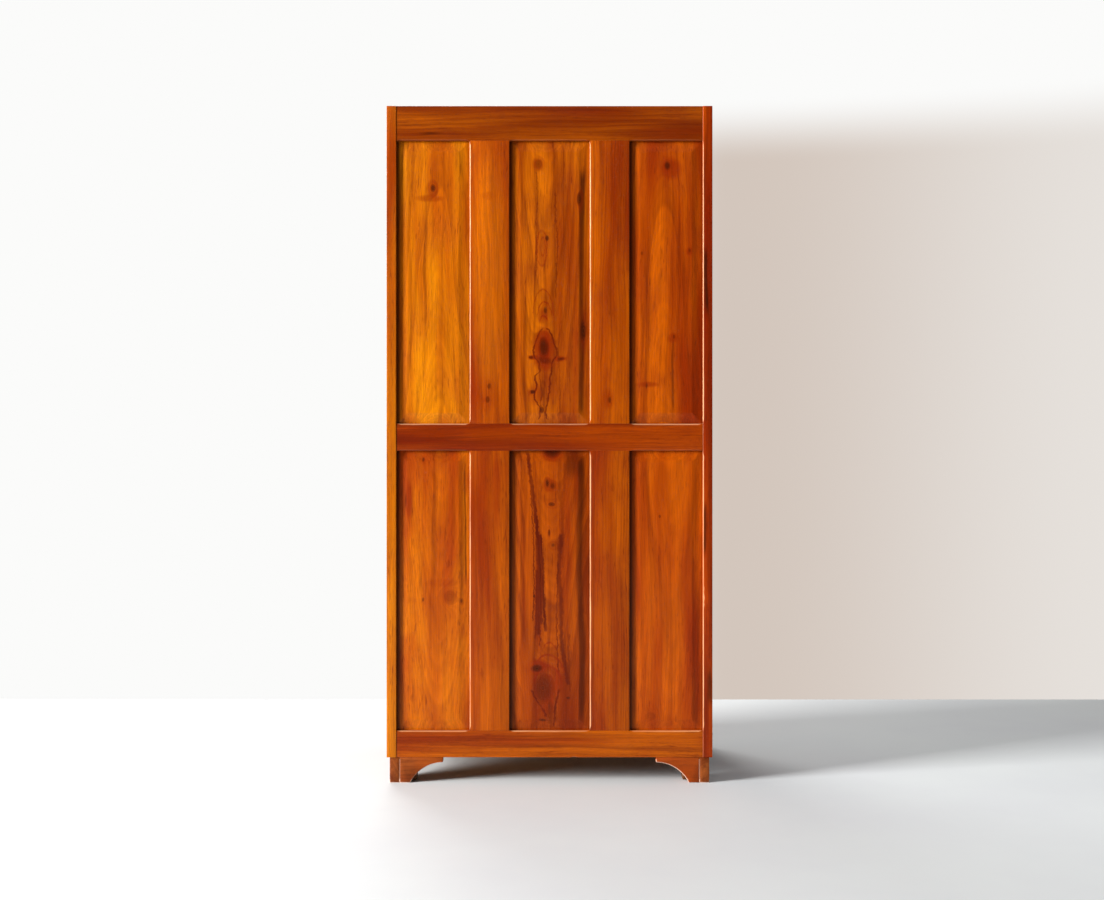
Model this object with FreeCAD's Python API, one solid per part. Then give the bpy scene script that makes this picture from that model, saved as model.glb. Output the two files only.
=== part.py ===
"""Two-door teak wardrobe: a frame-and-panel carcass on bracket feet, a pair of panelled doors on butt
hinges, a cupboard lock with its key, two barrel bolts, a hat shelf and a hanging rod.

Part frame: +Z up, the doors face -Y, +X is to the right of somebody facing the doors. The origin is on
the floor, at the middle of the overall box (knobs included). Millimetres. Writes one STEP file for each
node to parts/.
"""

import FreeCAD, Part
import math
import os

Vector = FreeCAD.Vector

# ---- Carcass
width = 915.0                    # over the four corner posts
height = 1900.0                  # floor to the top of the posts
depth = 510.0                    # front edge to back edge of the posts
post_thickness = 27.0            # post size along X
post_depth = 70.0                # post size along Y
face_inset = 1.5                 # rails and doors lie this far behind the edges of the posts

foot_height = 71.0
bottom_rail_height = 75.0
middle_rail_height = 76.0
top_rail_height = 97.0
upper_opening_height = 795.0     # between the middle and the top rail
muntin_width = 111.5             # the two uprights of the back frame
back_middle_opening = 226.0      # between those two uprights

# ---- Frame-and-panel section, the same in the back, the sides and the doors
frame_thickness = 22.0
groove_front = 11.0              # outer face of a rail to the near wall of its groove
groove_width = 6.0               # the panels' tongues and all tenons are this thick
groove_depth = 9.0
panel_play = 1.0                 # left at the bottom of each groove for the panel to swell
field_rise = 4.5                 # the raised field over the edge of the panel
bevel_width = 28.0               # sloping margin round the field
bevel_reveal = 0.5               # open line between bevel and frame
tenon_shoulder = 12.0            # rail or muntin edge to its tenon
muntin_tenon = 15.0
face_rail_tenon = 18.0           # back and front rails, into the posts
side_rail_tenon = 30.0
door_rail_tenon = 25.0
mortise_play = 1.0               # at the bottom of each mortise

# ---- Boards inside
top_board_thickness = 18.0
top_board_rebate = 10.0          # the top board's seat in the posts and rails
board_play = 0.5                 # round every loose board
bottom_board_thickness = 16.0
bottom_ledge_height = 20.0       # step on the inside of the front bottom rail, under the bottom board
shelf_thickness = 18.0
shelf_drop = 290.0               # underside of the front top rail to the top of the hat shelf
shelf_setback = 20.0             # door backs to the front edge of the shelf
cleat_height = 70.0
cleat_thickness = 22.0
rod_radius = 14.0
rod_socket_play = 0.2
rod_socket_depth = 12.0
rod_below_shelf = 40.0           # underside of the shelf to the middle of the rod

# ---- Bracket feet
foot_set_in = 8.5                # outer face of a post to the outer face of its foot
foot_side_thickness = 28.0
foot_length = 150.0              # along each face, from the outer corner
foot_toe = 58.0                  # the part of that length that meets the floor
foot_step = 14.0                 # upright end of the bracket under the rail
glue_block_size = 45.0
glue_block_lift = 3.0            # floor to the underside of the block

# ---- Doors
hinge_gap = 2.5                  # post to door
meeting_gap = 3.0                # door to door
door_end_gap = 2.5               # rail to door, above and below
door_stile_width = 68.0
door_top_rail_height = 75.0
door_bottom_rail_height = 100.0
stop_overlap = 8.0               # the top rail's stop laps down behind the doors
stop_thickness = 20.0
stop_gap = 0.5                   # door back to its stops

# ---- Butt hinges
hinge_count = 3
hinge_length = 75.0
hinge_end_distance = 150.0       # door end to the middle of the outer hinges
leaf_thickness = 2.0
leaf_reach = 20.0                # into the door's thickness
knuckle_radius = 4.0
knuckle_stand_off = 0.5          # post edge to the knuckles
knuckle_count = 5
knuckle_play = 0.4               # end play between knuckles
pin_radius = 2.0
pin_play = 0.05
leaf_screw_offset = 10.0         # door face to the line of screws
leaf_screw_spacing = 25.0

# ---- Screws
screw_head_radius = 3.3
screw_shank_radius = 1.7
screw_head_height = 2.0
screw_length = 16.0
screw_play = 0.1
slot_width = 0.8
slot_depth = 0.8

# ---- Lock and key
lock_backset = 24.0              # meeting edge to the key's axis
lock_case_width = 36.0
lock_case_height = 64.0
lock_case_thickness = 12.0
selvedge_thickness = 2.0
selvedge_height = 90.0
selvedge_width = 14.0
selvedge_screw_spacing = 78.0
lock_wall = 2.0
key_sweep_radius = 8.5           # the round space in the case that the bit turns in
lock_bolt_height = 15.0
lock_bolt_thickness = 5.6
lock_bolt_length = 32.0
lock_bolt_throw = 9.0
lock_bolt_play = 0.3
bolt_end_play = 3.0              # beyond the tip of a shot bolt, in the other door or in a keep
key_shank_radius = 2.5
key_bit_radius = 8.0
key_bit_thickness = 2.2
key_bit_length = 5.5
key_bow_radius = 9.0
key_bow_hole_radius = 5.0
key_bow_thickness = 3.0
keyhole_play = 0.8
escutcheon_width = 22.0
escutcheon_height = 44.0
escutcheon_thickness = 1.5
escutcheon_pin_radius = 1.2
escutcheon_pin_length = 8.0

# ---- Knobs
knob_radius = 14.0
knob_reach = 30.0                # from the door's face
knob_neck_radius = 6.0
knob_cap_radius = 11.0           # the flatter top of the head
knob_cap_rise = 4.0
knob_rose_radius = 10.0
knob_rose_thickness = 3.0
knob_spigot_radius = 4.0
knob_spigot_length = 15.0
knob_above_key = 95.0

# ---- Barrel bolts on the back of the left door
bolt_radius = 4.0
bolt_stand_off = 9.0             # door back to the bolt's axis
bolt_plate_width = 24.0
bolt_plate_thickness = 1.5
bolt_guide_height = 10.0
bolt_guide_width = 16.0
bolt_guide_spacing = 60.0
bolt_length = 76.0
bolt_end_clearance = 3.0         # shot end of the drawn bolt to its keep
bolt_throw = 18.0
bolt_play = 0.15
keep_play = 0.45
bolt_knob_radius = 3.5
bolt_knob_length = 12.0
bolt_knob_along = 49.0           # shot end of the bolt to its knob
keep_thickness = 1.5
keep_length = 34.0
keep_width = 14.0
keep_screw_spacing = 24.0

# ---- Levels and planes worked out from the above
front_reach = knob_reach - face_inset
back_y = (depth + front_reach) / 2
front_y = back_y - depth
middle_y = (front_y + back_y) / 2
face_y = front_y + face_inset                      # outer face of the doors
door_back_y = face_y + frame_thickness
back_face_y = back_y - face_inset                  # outer face of the back rails
back_inner_y = back_face_y - frame_thickness
outer_x = width / 2
inner_x = outer_x - post_thickness                 # inner face of the posts
side_face_x = outer_x - face_inset                 # outer face of the side rails
side_inner_x = side_face_x - frame_thickness

bottom_rail_z = (foot_height, foot_height + bottom_rail_height)
top_rail_z = (height - top_rail_height, height)
middle_rail_top = top_rail_z[0] - upper_opening_height
middle_rail_z = (middle_rail_top - middle_rail_height, middle_rail_top)
rail_levels = [bottom_rail_z, middle_rail_z, top_rail_z]
middle_level = sum(middle_rail_z) / 2
floor_board_top = bottom_rail_z[1] + bottom_board_thickness
shelf_top = top_rail_z[0] - shelf_drop
rod_level = shelf_top - shelf_thickness - rod_below_shelf
stop_bottom = top_rail_z[0] - stop_overlap
stop_back_y = door_back_y + stop_gap + stop_thickness
panel_lip = frame_thickness - groove_front - groove_width    # inner wall of a panel's groove
muntin_near = back_middle_opening / 2
back_muntins = [(-muntin_near - muntin_width, -muntin_near), (muntin_near, muntin_near + muntin_width)]

door_bottom = bottom_rail_z[1] + door_end_gap
door_top = top_rail_z[0] - door_end_gap
door_outer_x = inner_x - hinge_gap                 # hinge edge of a door
door_inner_x = meeting_gap / 2                     # meeting edge of a door
hinge_x = inner_x - hinge_gap / 2
hinge_y = front_y - knuckle_radius - knuckle_stand_off
hinge_levels = [
    door_bottom + hinge_end_distance
    + i * (door_top - door_bottom - 2 * hinge_end_distance) / (hinge_count - 1)
    for i in range(hinge_count)
]
key_x = door_inner_x + lock_backset
key_z = middle_level
knob_z = key_z + knob_above_key
bolt_x = -(door_inner_x + door_stile_width / 2)
bolt_y = door_back_y + bolt_stand_off


# ---- Small solids
def block(x0, x1, y0, y1, z0, z1):
    """A box between two corners, given in either order."""
    low = Vector(min(x0, x1), min(y0, y1), min(z0, z1))
    return Part.makeBox(abs(x1 - x0), abs(y1 - y0), abs(z1 - z0), low)


def rod(radius, start, direction, length):
    return Part.makeCylinder(radius, length, Vector(*start), Vector(*direction))


def cut(shape, tools):
    tools = list(tools)
    return shape.cut(tools) if tools else shape


def joined(first, *others):
    return first.fuse(list(others)).removeSplitter()


def mirrored(shape):
    """The same shape on the other side of the wardrobe's middle plane."""
    return shape.mirror(Vector(0, 0, 0), Vector(1, 0, 0))


def both_sides(shape):
    return [shape, mirrored(shape)]


def turned(shape, quarter_turns, x, y):
    """A shape modelled facing -Y with its face at y = 0, turned about Z and moved to (x, y)."""
    moved = shape.copy()
    moved.rotate(Vector(0, 0, 0), Vector(0, 0, 1), 90 * quarter_turns)
    moved.translate(Vector(x, y, 0))
    return moved


# ---- Frame-and-panel work
def fielded_panel(left, right, low, high):
    """A panel for the opening left..right, low..high: a flat tongue and a raised field with bevels."""
    grow = groove_depth - panel_play
    tongue_back = groove_front + groove_width
    tongue = block(left - grow, right + grow, groove_front, tongue_back, low - grow, high + grow)
    field = Part.makeWedge(
        left + bevel_width, groove_front - field_rise, low + bevel_width,
        low + bevel_reveal, left + bevel_reveal,
        right - bevel_width, groove_front, high - bevel_width,
        high - bevel_reveal, right - bevel_reveal)
    return joined(tongue, field)


def framed(left, right, levels, muntins, tenon):
    """Rails, muntins and panels between two uprights, seen from outside with the rails' face at y = 0.

    levels are the rails' (low, high), muntins the uprights' (left, right). Returns the pieces, and the
    tools that cut the mortises and grooves of the outer uprights.
    """
    groove_back = groove_front + groove_width
    edges = [left, *[x for pair in muntins for x in pair], right]
    columns = list(zip(edges[::2], edges[1::2]))
    rows = [(below[1], above[0]) for below, above in zip(levels, levels[1:])]
    grooves = [
        block(x0 - groove_depth, x1 + groove_depth, groove_front, groove_back,
              z0 - groove_depth, z1 + groove_depth)
        for z0, z1 in rows for x0, x1 in columns
    ]
    upright_tools = list(grooves)
    rails = []
    for low, high in levels:
        body = block(left, right, 0, frame_thickness, low, high)
        tenons = []
        for edge, way in ((left, -1), (right, 1)):
            low_t, high_t = low + tenon_shoulder, high - tenon_shoulder
            tenons.append(block(edge, edge + way * tenon, groove_front, groove_back, low_t, high_t))
            reach = edge + way * (tenon + mortise_play)
            upright_tools.append(block(edge, reach, groove_front, groove_back, low_t, high_t))
        tools = list(grooves)
        for x0, x1 in muntins:
            for edge, way in ((low, -1), (high, 1)):
                inward = edge - way * (muntin_tenon + mortise_play)
                if (way < 0 and low > levels[0][0]) or (way > 0 and high < levels[-1][1]):
                    tools.append(block(x0 + tenon_shoulder, x1 - tenon_shoulder,
                                       groove_front, groove_back, edge, inward))
        rails.append(cut(body, tools).fuse(tenons).removeSplitter())
    uprights = []
    for z0, z1 in rows:
        for x0, x1 in muntins:
            body = cut(block(x0, x1, 0, frame_thickness, z0, z1), grooves)
            ends = block(x0 + tenon_shoulder, x1 - tenon_shoulder, groove_front, groove_back,
                         z0 - muntin_tenon, z1 + muntin_tenon)
            uprights.append(joined(body, ends))
    panels = [fielded_panel(x0, x1, z0, z1) for z0, z1 in rows for x0, x1 in columns]
    return rails, uprights, panels, upright_tools


# ---- Boards and their seats
def top_board_seat(play):
    """The top board's outline, with play round it: the board itself, or the tool that cuts its rebate."""
    x = inner_x + top_board_rebate - board_play + play
    front = face_y + frame_thickness - top_board_rebate + board_play - play
    back = back_inner_y + top_board_rebate - board_play + play
    return block(-x, x, front, back, height - top_board_thickness, height)


def bottom_board():
    """Lies on the front rail's ledge and the other rails' inner lips; its front edge stops the doors."""
    low, high = bottom_rail_z[1], floor_board_top
    bearing = panel_lip - board_play
    between_posts = block(-side_inner_x - bearing, side_inner_x + bearing,
                          front_y + post_depth + board_play, back_y - post_depth - board_play, low, high)
    between_sides = block(-inner_x + board_play, inner_x - board_play,
                          door_back_y + stop_gap, back_inner_y + bearing, low, high)
    notches = [block(x0 - board_play, x1 + board_play, back_inner_y - board_play, back_y, low, high)
               for x0, x1 in back_muntins]
    return cut(joined(between_sides, between_posts), notches)


def rod_socket(side):
    """Tool for the blind hole in a cleat that an end of the hanging rod stands in."""
    mouth = (side * (inner_x - cleat_thickness), middle_y, rod_level)
    return rod(rod_radius + rod_socket_play, mouth, (side, 0, 0), rod_socket_depth + board_play)


def shelf_cleat(side):
    x0, x1 = side * inner_x, side * (inner_x - cleat_thickness)
    top = shelf_top - shelf_thickness
    body = block(x0, x1, door_back_y + shelf_setback, back_inner_y, top - cleat_height, top)
    return body.cut(rod_socket(side))


# ---- Bracket feet
def bracket(length, toe, thickness):
    """A foot bracket from x = 0 at the corner, face at y = 0, with a concave arc between toe and step."""
    rise = foot_height - foot_step
    run = length - toe
    radius = (run * run + rise * rise) / (2 * rise)     # arc level where it meets the step
    centre_z = rise - radius
    half = math.acos((radius - rise) / radius) / 2
    on_arc = Vector(length - radius * math.sin(half), 0, centre_z + radius * math.cos(half))
    corner, toe_end = Vector(0, 0, 0), Vector(toe, 0, 0)
    step_low, step_high = Vector(length, 0, rise), Vector(length, 0, foot_height)
    outline = Part.Wire([
        Part.LineSegment(corner, toe_end).toShape(),
        Part.Arc(toe_end, on_arc, step_low).toShape(),
        Part.LineSegment(step_low, step_high).toShape(),
        Part.LineSegment(step_high, Vector(0, 0, foot_height)).toShape(),
        Part.LineSegment(Vector(0, 0, foot_height), corner).toShape(),
    ])
    return Part.Face(outline).extrude(Vector(0, thickness, 0))


def feet():
    """Side brackets, face brackets and glue blocks of all four corners."""
    sides, faces, blocks = [], [], []
    foot_x = outer_x - foot_set_in
    side = turned(bracket(foot_length, foot_toe, foot_side_thickness), 1, foot_x, face_y)
    face = bracket(foot_length, foot_toe, frame_thickness)
    face = face.cut(block(0, foot_side_thickness, 0, frame_thickness, 0, foot_height))
    face.translate(Vector(-foot_x, face_y, 0))
    inner = foot_x - foot_side_thickness
    corner_block = block(inner, inner - glue_block_size, door_back_y, door_back_y + glue_block_size,
                         glue_block_lift, bottom_rail_z[1] - bottom_ledge_height)
    for shape, group in ((side, sides), (face, faces), (corner_block, blocks)):
        front = both_sides(shape)
        group += front + [s.mirror(Vector(0, middle_y, 0), Vector(0, 1, 0)) for s in front]
    return sides, faces, blocks


# ---- Screws and pins
def screw(at, into, play=0.0):
    """A slotted countersunk screw, its head flush at the point at; with play, the tool for its hole."""
    head = Part.makeCone(screw_head_radius + play, screw_shank_radius + play, screw_head_height,
                         Vector(*at), Vector(*into))
    shank = rod(screw_shank_radius + play, at, into, screw_length + play)
    whole = joined(head, shank)
    if play:
        return whole
    slot = block(-screw_head_radius, screw_head_radius, -slot_width / 2, slot_width / 2, 0, slot_depth)
    slot.Placement = FreeCAD.Placement(Vector(*at), FreeCAD.Rotation(Vector(0, 0, 1), Vector(*into)))
    return whole.cut(slot)


def screws(places):
    return [screw(at, into) for at, into in places]


def screw_holes(places):
    return [screw(at, into, screw_play) for at, into in places]


def leaf_screws(on_frame):
    """Places of the right-hand hinges' screws, in the frame leaves or in the door leaves."""
    x = inner_x if on_frame else door_outer_x
    way = 1 if on_frame else -1
    return [
        ((x, face_y + leaf_screw_offset, z + i * leaf_screw_spacing), (way, 0, 0))
        for z in hinge_levels for i in (-1, 0, 1)
    ]


# ---- Hinges
def knuckle_spans(on_frame):
    """(low, high) of one leaf's knuckles, about the middle of the hinge. The frame leaf has the odd ones."""
    pitch = hinge_length / knuckle_count
    spans = []
    for i in range(0 if on_frame else 1, knuckle_count, 2):
        low = -hinge_length / 2 + i * pitch
        spans.append((low + knuckle_play / 2, low + pitch - knuckle_play / 2))
    return spans


def leaf_outline(on_frame, play=0.0):
    """The flat of a leaf about the hinge axis, let in flush; with play, the tool for its recess."""
    way = 1 if on_frame else -1
    near = knuckle_radius + knuckle_stand_off + (0 if on_frame else face_inset)
    near_x = way * hinge_gap / 2
    far_x = near_x + way * leaf_thickness
    far_y = face_y + leaf_reach - hinge_y
    half = hinge_length / 2
    return block(near_x, far_x, near - play, far_y + play, -half - play, half + play)


def hinge_leaf(on_frame):
    """A leaf about its own axis at the origin: plate, wrapped knuckles and bore."""
    way = 1 if on_frame else -1
    near_x = way * hinge_gap / 2
    near_y = knuckle_radius + knuckle_stand_off + (0 if on_frame else face_inset)
    leaf = leaf_outline(on_frame)
    knuckles = []
    for low, high in knuckle_spans(on_frame):
        knuckles.append(rod(knuckle_radius, (0, 0, low), (0, 0, 1), high - low))
        knuckles.append(block(near_x, near_x + way * leaf_thickness, 0, near_y, low, high))
    bore = pin_radius if on_frame else pin_radius + pin_play
    hole = rod(bore, (0, 0, -hinge_length), (0, 0, 1), 2 * hinge_length)
    return joined(leaf, *knuckles).cut(hole)


def hinge_leaves(on_frame):
    """The right-hand side's leaves, with their screw holes."""
    holes = screw_holes(leaf_screws(on_frame))
    leaves = []
    for z in hinge_levels:
        leaf = hinge_leaf(on_frame)
        leaf.translate(Vector(hinge_x, hinge_y, z))
        leaves.append(cut(leaf, holes))
    return leaves


def hinge_pins():
    """The right-hand side's pins, tight in the frame leaves' knuckles and loose in the door leaves'."""
    starts = [(hinge_x, hinge_y, z - hinge_length / 2) for z in hinge_levels]
    return [rod(pin_radius, start, (0, 0, 1), hinge_length) for start in starts]


def leaf_recesses(on_frame):
    tools = []
    for z in hinge_levels:
        tool = leaf_outline(on_frame)
        tool.translate(Vector(hinge_x, hinge_y, z))
        tools.append(tool)
    return tools


# ---- Lock, key, escutcheon and knob
def key_slot(play):
    """Along Y through everything the key passes: round hole and the slot for its bit."""
    front, back = face_y - escutcheon_thickness, door_back_y - lock_wall
    hole = rod(key_shank_radius + play, (key_x, front, key_z), (0, 1, 0), back - front)
    half = key_bit_thickness / 2 + play
    return hole.fuse(block(key_x - half, key_x + half, front, back, key_z - key_bit_radius - play, key_z))


lock_bolt_low = key_z + key_sweep_radius + lock_bolt_play
lock_front_y = door_back_y - lock_case_thickness
lock_bolt_middle_y = door_back_y - lock_case_thickness / 2


def lock_bolt(play=0.0, reach=0.0):
    """The sliding bolt, drawn; with play and reach, the space for it to reach beyond its tip."""
    tip = door_inner_x + lock_bolt_play
    half = lock_bolt_thickness / 2 + play
    return block(tip - reach, tip + lock_bolt_length + play,
                 lock_bolt_middle_y - half, lock_bolt_middle_y + half,
                 lock_bolt_low - play, lock_bolt_low + lock_bolt_height + play)


def selvedge_screws():
    levels = [key_z + s * selvedge_screw_spacing / 2 for s in (-1, 1)]
    return [((door_inner_x, lock_bolt_middle_y, z), (1, 0, 0)) for z in levels]


def lock_body():
    """Outline of the lock: case let into the back of the stile and selvedge let into its edge."""
    case_x = door_inner_x + selvedge_thickness
    case = block(door_inner_x, case_x + lock_case_width, lock_front_y, door_back_y,
                 key_z - lock_case_height / 2, key_z + lock_case_height / 2)
    selvedge = block(door_inner_x, case_x, door_back_y - selvedge_width, door_back_y,
                     key_z - selvedge_height / 2, key_z + selvedge_height / 2)
    return joined(case, selvedge)


def lock_case():
    sweep = rod(key_sweep_radius, (key_x, lock_front_y + lock_wall, key_z), (0, 1, 0),
                lock_case_thickness - 2 * lock_wall)
    return cut(lock_body(), [sweep, lock_bolt(lock_bolt_play / 2, lock_bolt_throw), key_slot(keyhole_play),
                             *screw_holes(selvedge_screws())])


def key():
    """Bow outside, shank through the door, bit hanging down inside the case."""
    tip = door_back_y - lock_wall - lock_bolt_play
    bow_y = face_y - knob_reach + key_bow_radius
    shank = rod(key_shank_radius, (key_x, bow_y, key_z), (0, 1, 0), tip - bow_y)
    half = key_bit_thickness / 2
    bit_y = tip - key_bit_length
    bit = block(key_x - half, key_x + half, bit_y, tip, key_z - key_bit_radius, key_z)
    bow = rod(key_bow_radius, (key_x - key_bow_thickness / 2, bow_y, key_z), (1, 0, 0), key_bow_thickness)
    hole = rod(key_bow_hole_radius, (key_x - key_bow_radius, bow_y, key_z), (1, 0, 0), 2 * key_bow_radius)
    return joined(joined(shank, bow).cut(hole), bit)


def escutcheon_pins():
    """(radius, start, direction, length) of the two pins that hold the escutcheon."""
    reach = escutcheon_height / 2 - escutcheon_width / 4
    front = face_y - escutcheon_thickness
    return [(escutcheon_pin_radius, (key_x, front, key_z + s * reach), (0, 1, 0), escutcheon_pin_length)
            for s in (-1, 1)]


def pin_holes(pins, play):
    return [rod(radius + play, start, way, length + play) for radius, start, way, length in pins]


def escutcheon():
    """A plate with round ends and a keyhole."""
    end = escutcheon_width / 2
    straight = escutcheon_height / 2 - end
    front = face_y - escutcheon_thickness
    middle = block(key_x - end, key_x + end, front, face_y, key_z - straight, key_z + straight)
    ends = [rod(end, (key_x, front, key_z + s * straight), (0, 1, 0), escutcheon_thickness) for s in (-1, 1)]
    return cut(joined(middle, *ends), [key_slot(keyhole_play), *pin_holes(escutcheon_pins(), pin_play)])


def oval_point(centre_radius, centre_level, reach, rise):
    """The 45-degree point of a quarter oval about (centre_radius, centre_level)."""
    diagonal = math.sqrt(0.5)
    return Vector(centre_radius + diagonal * reach, 0, centre_level + diagonal * rise)


def knob():
    """A turned knob: spigot let into the stile, rose, neck, and a head with a rounded rim and a cap."""
    neck_end = knob_rose_thickness + knob_neck_radius
    cap_start = knob_reach - knob_cap_rise
    widest = (neck_end + cap_start) / 2
    corners = [(0, -knob_spigot_length), (knob_spigot_radius, -knob_spigot_length), (knob_spigot_radius, 0),
               (knob_rose_radius, 0), (knob_rose_radius, knob_rose_thickness),
               (knob_neck_radius, knob_rose_thickness), (knob_neck_radius, neck_end)]
    points = [Vector(r, 0, z) for r, z in corners]
    edges = [Part.LineSegment(a, b).toShape() for a, b in zip(points, points[1:])]
    rim, cap_edge = Vector(knob_radius, 0, widest), Vector(knob_cap_radius, 0, cap_start)
    under = oval_point(knob_neck_radius, widest, knob_radius - knob_neck_radius, neck_end - widest)
    over = oval_point(knob_cap_radius, widest, knob_radius - knob_cap_radius, cap_start - widest)
    edges.append(Part.Arc(points[-1], under, rim).toShape())
    edges.append(Part.Arc(rim, over, cap_edge).toShape())
    sphere = (knob_cap_radius ** 2 + knob_cap_rise ** 2) / (2 * knob_cap_rise)
    half = math.asin(knob_cap_radius / sphere) / 2
    top = Vector(0, 0, knob_reach)
    on_cap = Vector(sphere * math.sin(half), 0, knob_reach - sphere + sphere * math.cos(half))
    edges.append(Part.Arc(cap_edge, on_cap, top).toShape())
    edges.append(Part.LineSegment(top, points[0]).toShape())
    turned_knob = Part.Face(Part.Wire(edges)).revolve(Vector(0, 0, 0), Vector(0, 0, 1), 360)
    turned_knob.rotate(Vector(0, 0, 0), Vector(1, 0, 0), 90)
    turned_knob.translate(Vector(key_x, face_y, knob_z))
    return turned_knob


def knob_hole():
    hole_depth = knob_spigot_length + mortise_play
    return rod(knob_spigot_radius + pin_play, (key_x, face_y, knob_z), (0, 1, 0), hole_depth)


# ---- Barrel bolts
def keep_level(way):
    """Face of the top bolt's keep (way 1) or the bottom bolt's (way -1): levels count back from it."""
    return stop_bottom if way > 0 else floor_board_top


def bolt_rod(way):
    start = keep_level(way) - way * bolt_end_clearance
    end = start - way * bolt_length
    body = rod(bolt_radius, (bolt_x, bolt_y, min(start, end)), (0, 0, 1), bolt_length)
    grip = rod(bolt_knob_radius, (bolt_x, bolt_y, start - way * bolt_knob_along), (0, 1, 0),
               bolt_radius + bolt_knob_length)
    return joined(body, grip)


def bolt_plate_screws(way):
    top = keep_level(way) - way * (bolt_end_clearance + 1 + bolt_guide_height / 2)
    middle = top - way * bolt_guide_spacing / 2
    spread = bolt_guide_spacing / 2 - bolt_guide_height
    side = bolt_plate_width / 2 - screw_head_radius - 1
    back = door_back_y + bolt_plate_thickness
    return [((bolt_x + s * side, back, middle + s * spread), (0, -1, 0)) for s in (-1, 1)]


def bolt_plate(way):
    """Plate with two guides that the bolt slides in."""
    first = keep_level(way) - way * (bolt_end_clearance + 1)
    last = first - way * (bolt_guide_spacing + bolt_guide_height)
    back = door_back_y + bolt_plate_thickness
    plate_half = bolt_plate_width / 2
    plate = block(bolt_x - plate_half, bolt_x + plate_half, door_back_y, back, first, last)
    half = bolt_guide_width / 2
    guides = [
        block(bolt_x - half, bolt_x + half, back, bolt_y + half, z, z - way * bolt_guide_height)
        for z in (first, first - way * bolt_guide_spacing)
    ]
    bore = rod(bolt_radius + bolt_play, (bolt_x, bolt_y, min(first, last)), (0, 0, 1), abs(first - last))
    return cut(joined(plate, *guides), [bore, *screw_holes(bolt_plate_screws(way))])


def keep_screws(way):
    z = keep_level(way)
    return [((bolt_x + s * keep_screw_spacing / 2, bolt_y, z), (0, 0, way)) for s in (-1, 1)]


def keep_outline(way):
    z = keep_level(way)
    return block(bolt_x - keep_length / 2, bolt_x + keep_length / 2,
                 bolt_y - keep_width / 2, bolt_y + keep_width / 2, z, z + way * keep_thickness)


def keep_hole(way):
    depth_in = bolt_throw - bolt_end_clearance + bolt_end_play
    return rod(bolt_radius + keep_play, (bolt_x, bolt_y, keep_level(way)), (0, 0, way), depth_in)


def bolt_keep(way):
    return cut(keep_outline(way), [keep_hole(way), *screw_holes(keep_screws(way))])


# ---- Assembly
nodes = {}


def add(name, shapes):
    nodes[name] = shapes if isinstance(shapes, list) else [shapes]


def add_back(post_tools):
    rails, uprights, panels, tools = framed(-inner_x, inner_x, rail_levels, back_muntins, face_rail_tenon)
    place = lambda shape: turned(shape, 2, 0, back_face_y)
    seat = top_board_seat(board_play)
    for name, rail in zip(("bottom", "middle", "top"), rails):
        add(f"back_{name}_rail", cut(place(rail), [seat]))
    add("back_muntins", [place(u) for u in uprights])
    names = [f"back_{row}_{column}_panel" for row in ("lower", "upper") for column in ("right", "middle", "left")]
    for name, panel in zip(names, panels):
        add(name, place(panel))
    post_tools += [place(t) for t in tools]


def add_sides(post_tools):
    half = (depth - 2 * post_depth) / 2
    rails, _, panels, tools = framed(-half, half, rail_levels, [], side_rail_tenon)
    place = lambda shape: turned(shape, 1, side_face_x, middle_y)
    seat = top_board_seat(board_play)
    for name, rail in zip(("bottom", "middle", "top"), rails):
        add(f"side_{name}_rails", both_sides(cut(place(rail), [seat])))
    for name, panel in zip(("lower", "upper"), panels):
        add(f"side_{name}_panels", both_sides(place(panel)))
    for tool in tools:
        post_tools += both_sides(place(tool))


def add_front(post_tools):
    """Front rails: the top one laps down behind the doors, and the bottom one has a ledge for its board."""
    rails = {}
    for name, (low, high) in (("bottom", bottom_rail_z), ("top", top_rail_z)):
        body = block(-inner_x, inner_x, face_y, door_back_y, low, high)
        if name == "top":
            seat_level = high - top_board_thickness
            thickening = block(-inner_x, inner_x, door_back_y, stop_back_y, low, seat_level)
            stop = block(-inner_x, inner_x, door_back_y + stop_gap, stop_back_y, stop_bottom, low)
            body = joined(body, thickening, stop)
        else:
            ledge_low = high - bottom_ledge_height
            body = joined(body, block(-inner_x, inner_x, door_back_y, stop_back_y, ledge_low, high))
        tenon_y = (face_y + groove_front - groove_width, face_y + groove_front)
        span = (low + tenon_shoulder, high - tenon_shoulder)
        reach = inner_x + face_rail_tenon
        post_tools.append(block(-reach - mortise_play, reach + mortise_play, *tenon_y, *span))
        rails[name] = joined(body, block(-reach, reach, *tenon_y, *span))
    keep = [keep_outline(1), keep_hole(1), *screw_holes(keep_screws(1))]
    add("front_top_rail", cut(rails["top"], [top_board_seat(board_play), *keep]))
    add("front_bottom_rail", rails["bottom"])


def add_posts(post_tools):
    frame_holes = leaf_recesses(True) + screw_holes(leaf_screws(True))
    seat = top_board_seat(board_play)
    for side_name, side in (("left", -1), ("right", 1)):
        x0, x1 = side * inner_x, side * outer_x
        hinge_tools = frame_holes if side > 0 else [mirrored(t) for t in frame_holes]
        for face_name, y0, y1, extra in (("front", front_y, front_y + post_depth, hinge_tools),
                                         ("back", back_y - post_depth, back_y, [])):
            body = block(x0, x1, y0, y1, foot_height, height)
            add(f"{face_name}_{side_name}_post", cut(body, [*post_tools, seat, *extra]))


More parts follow.
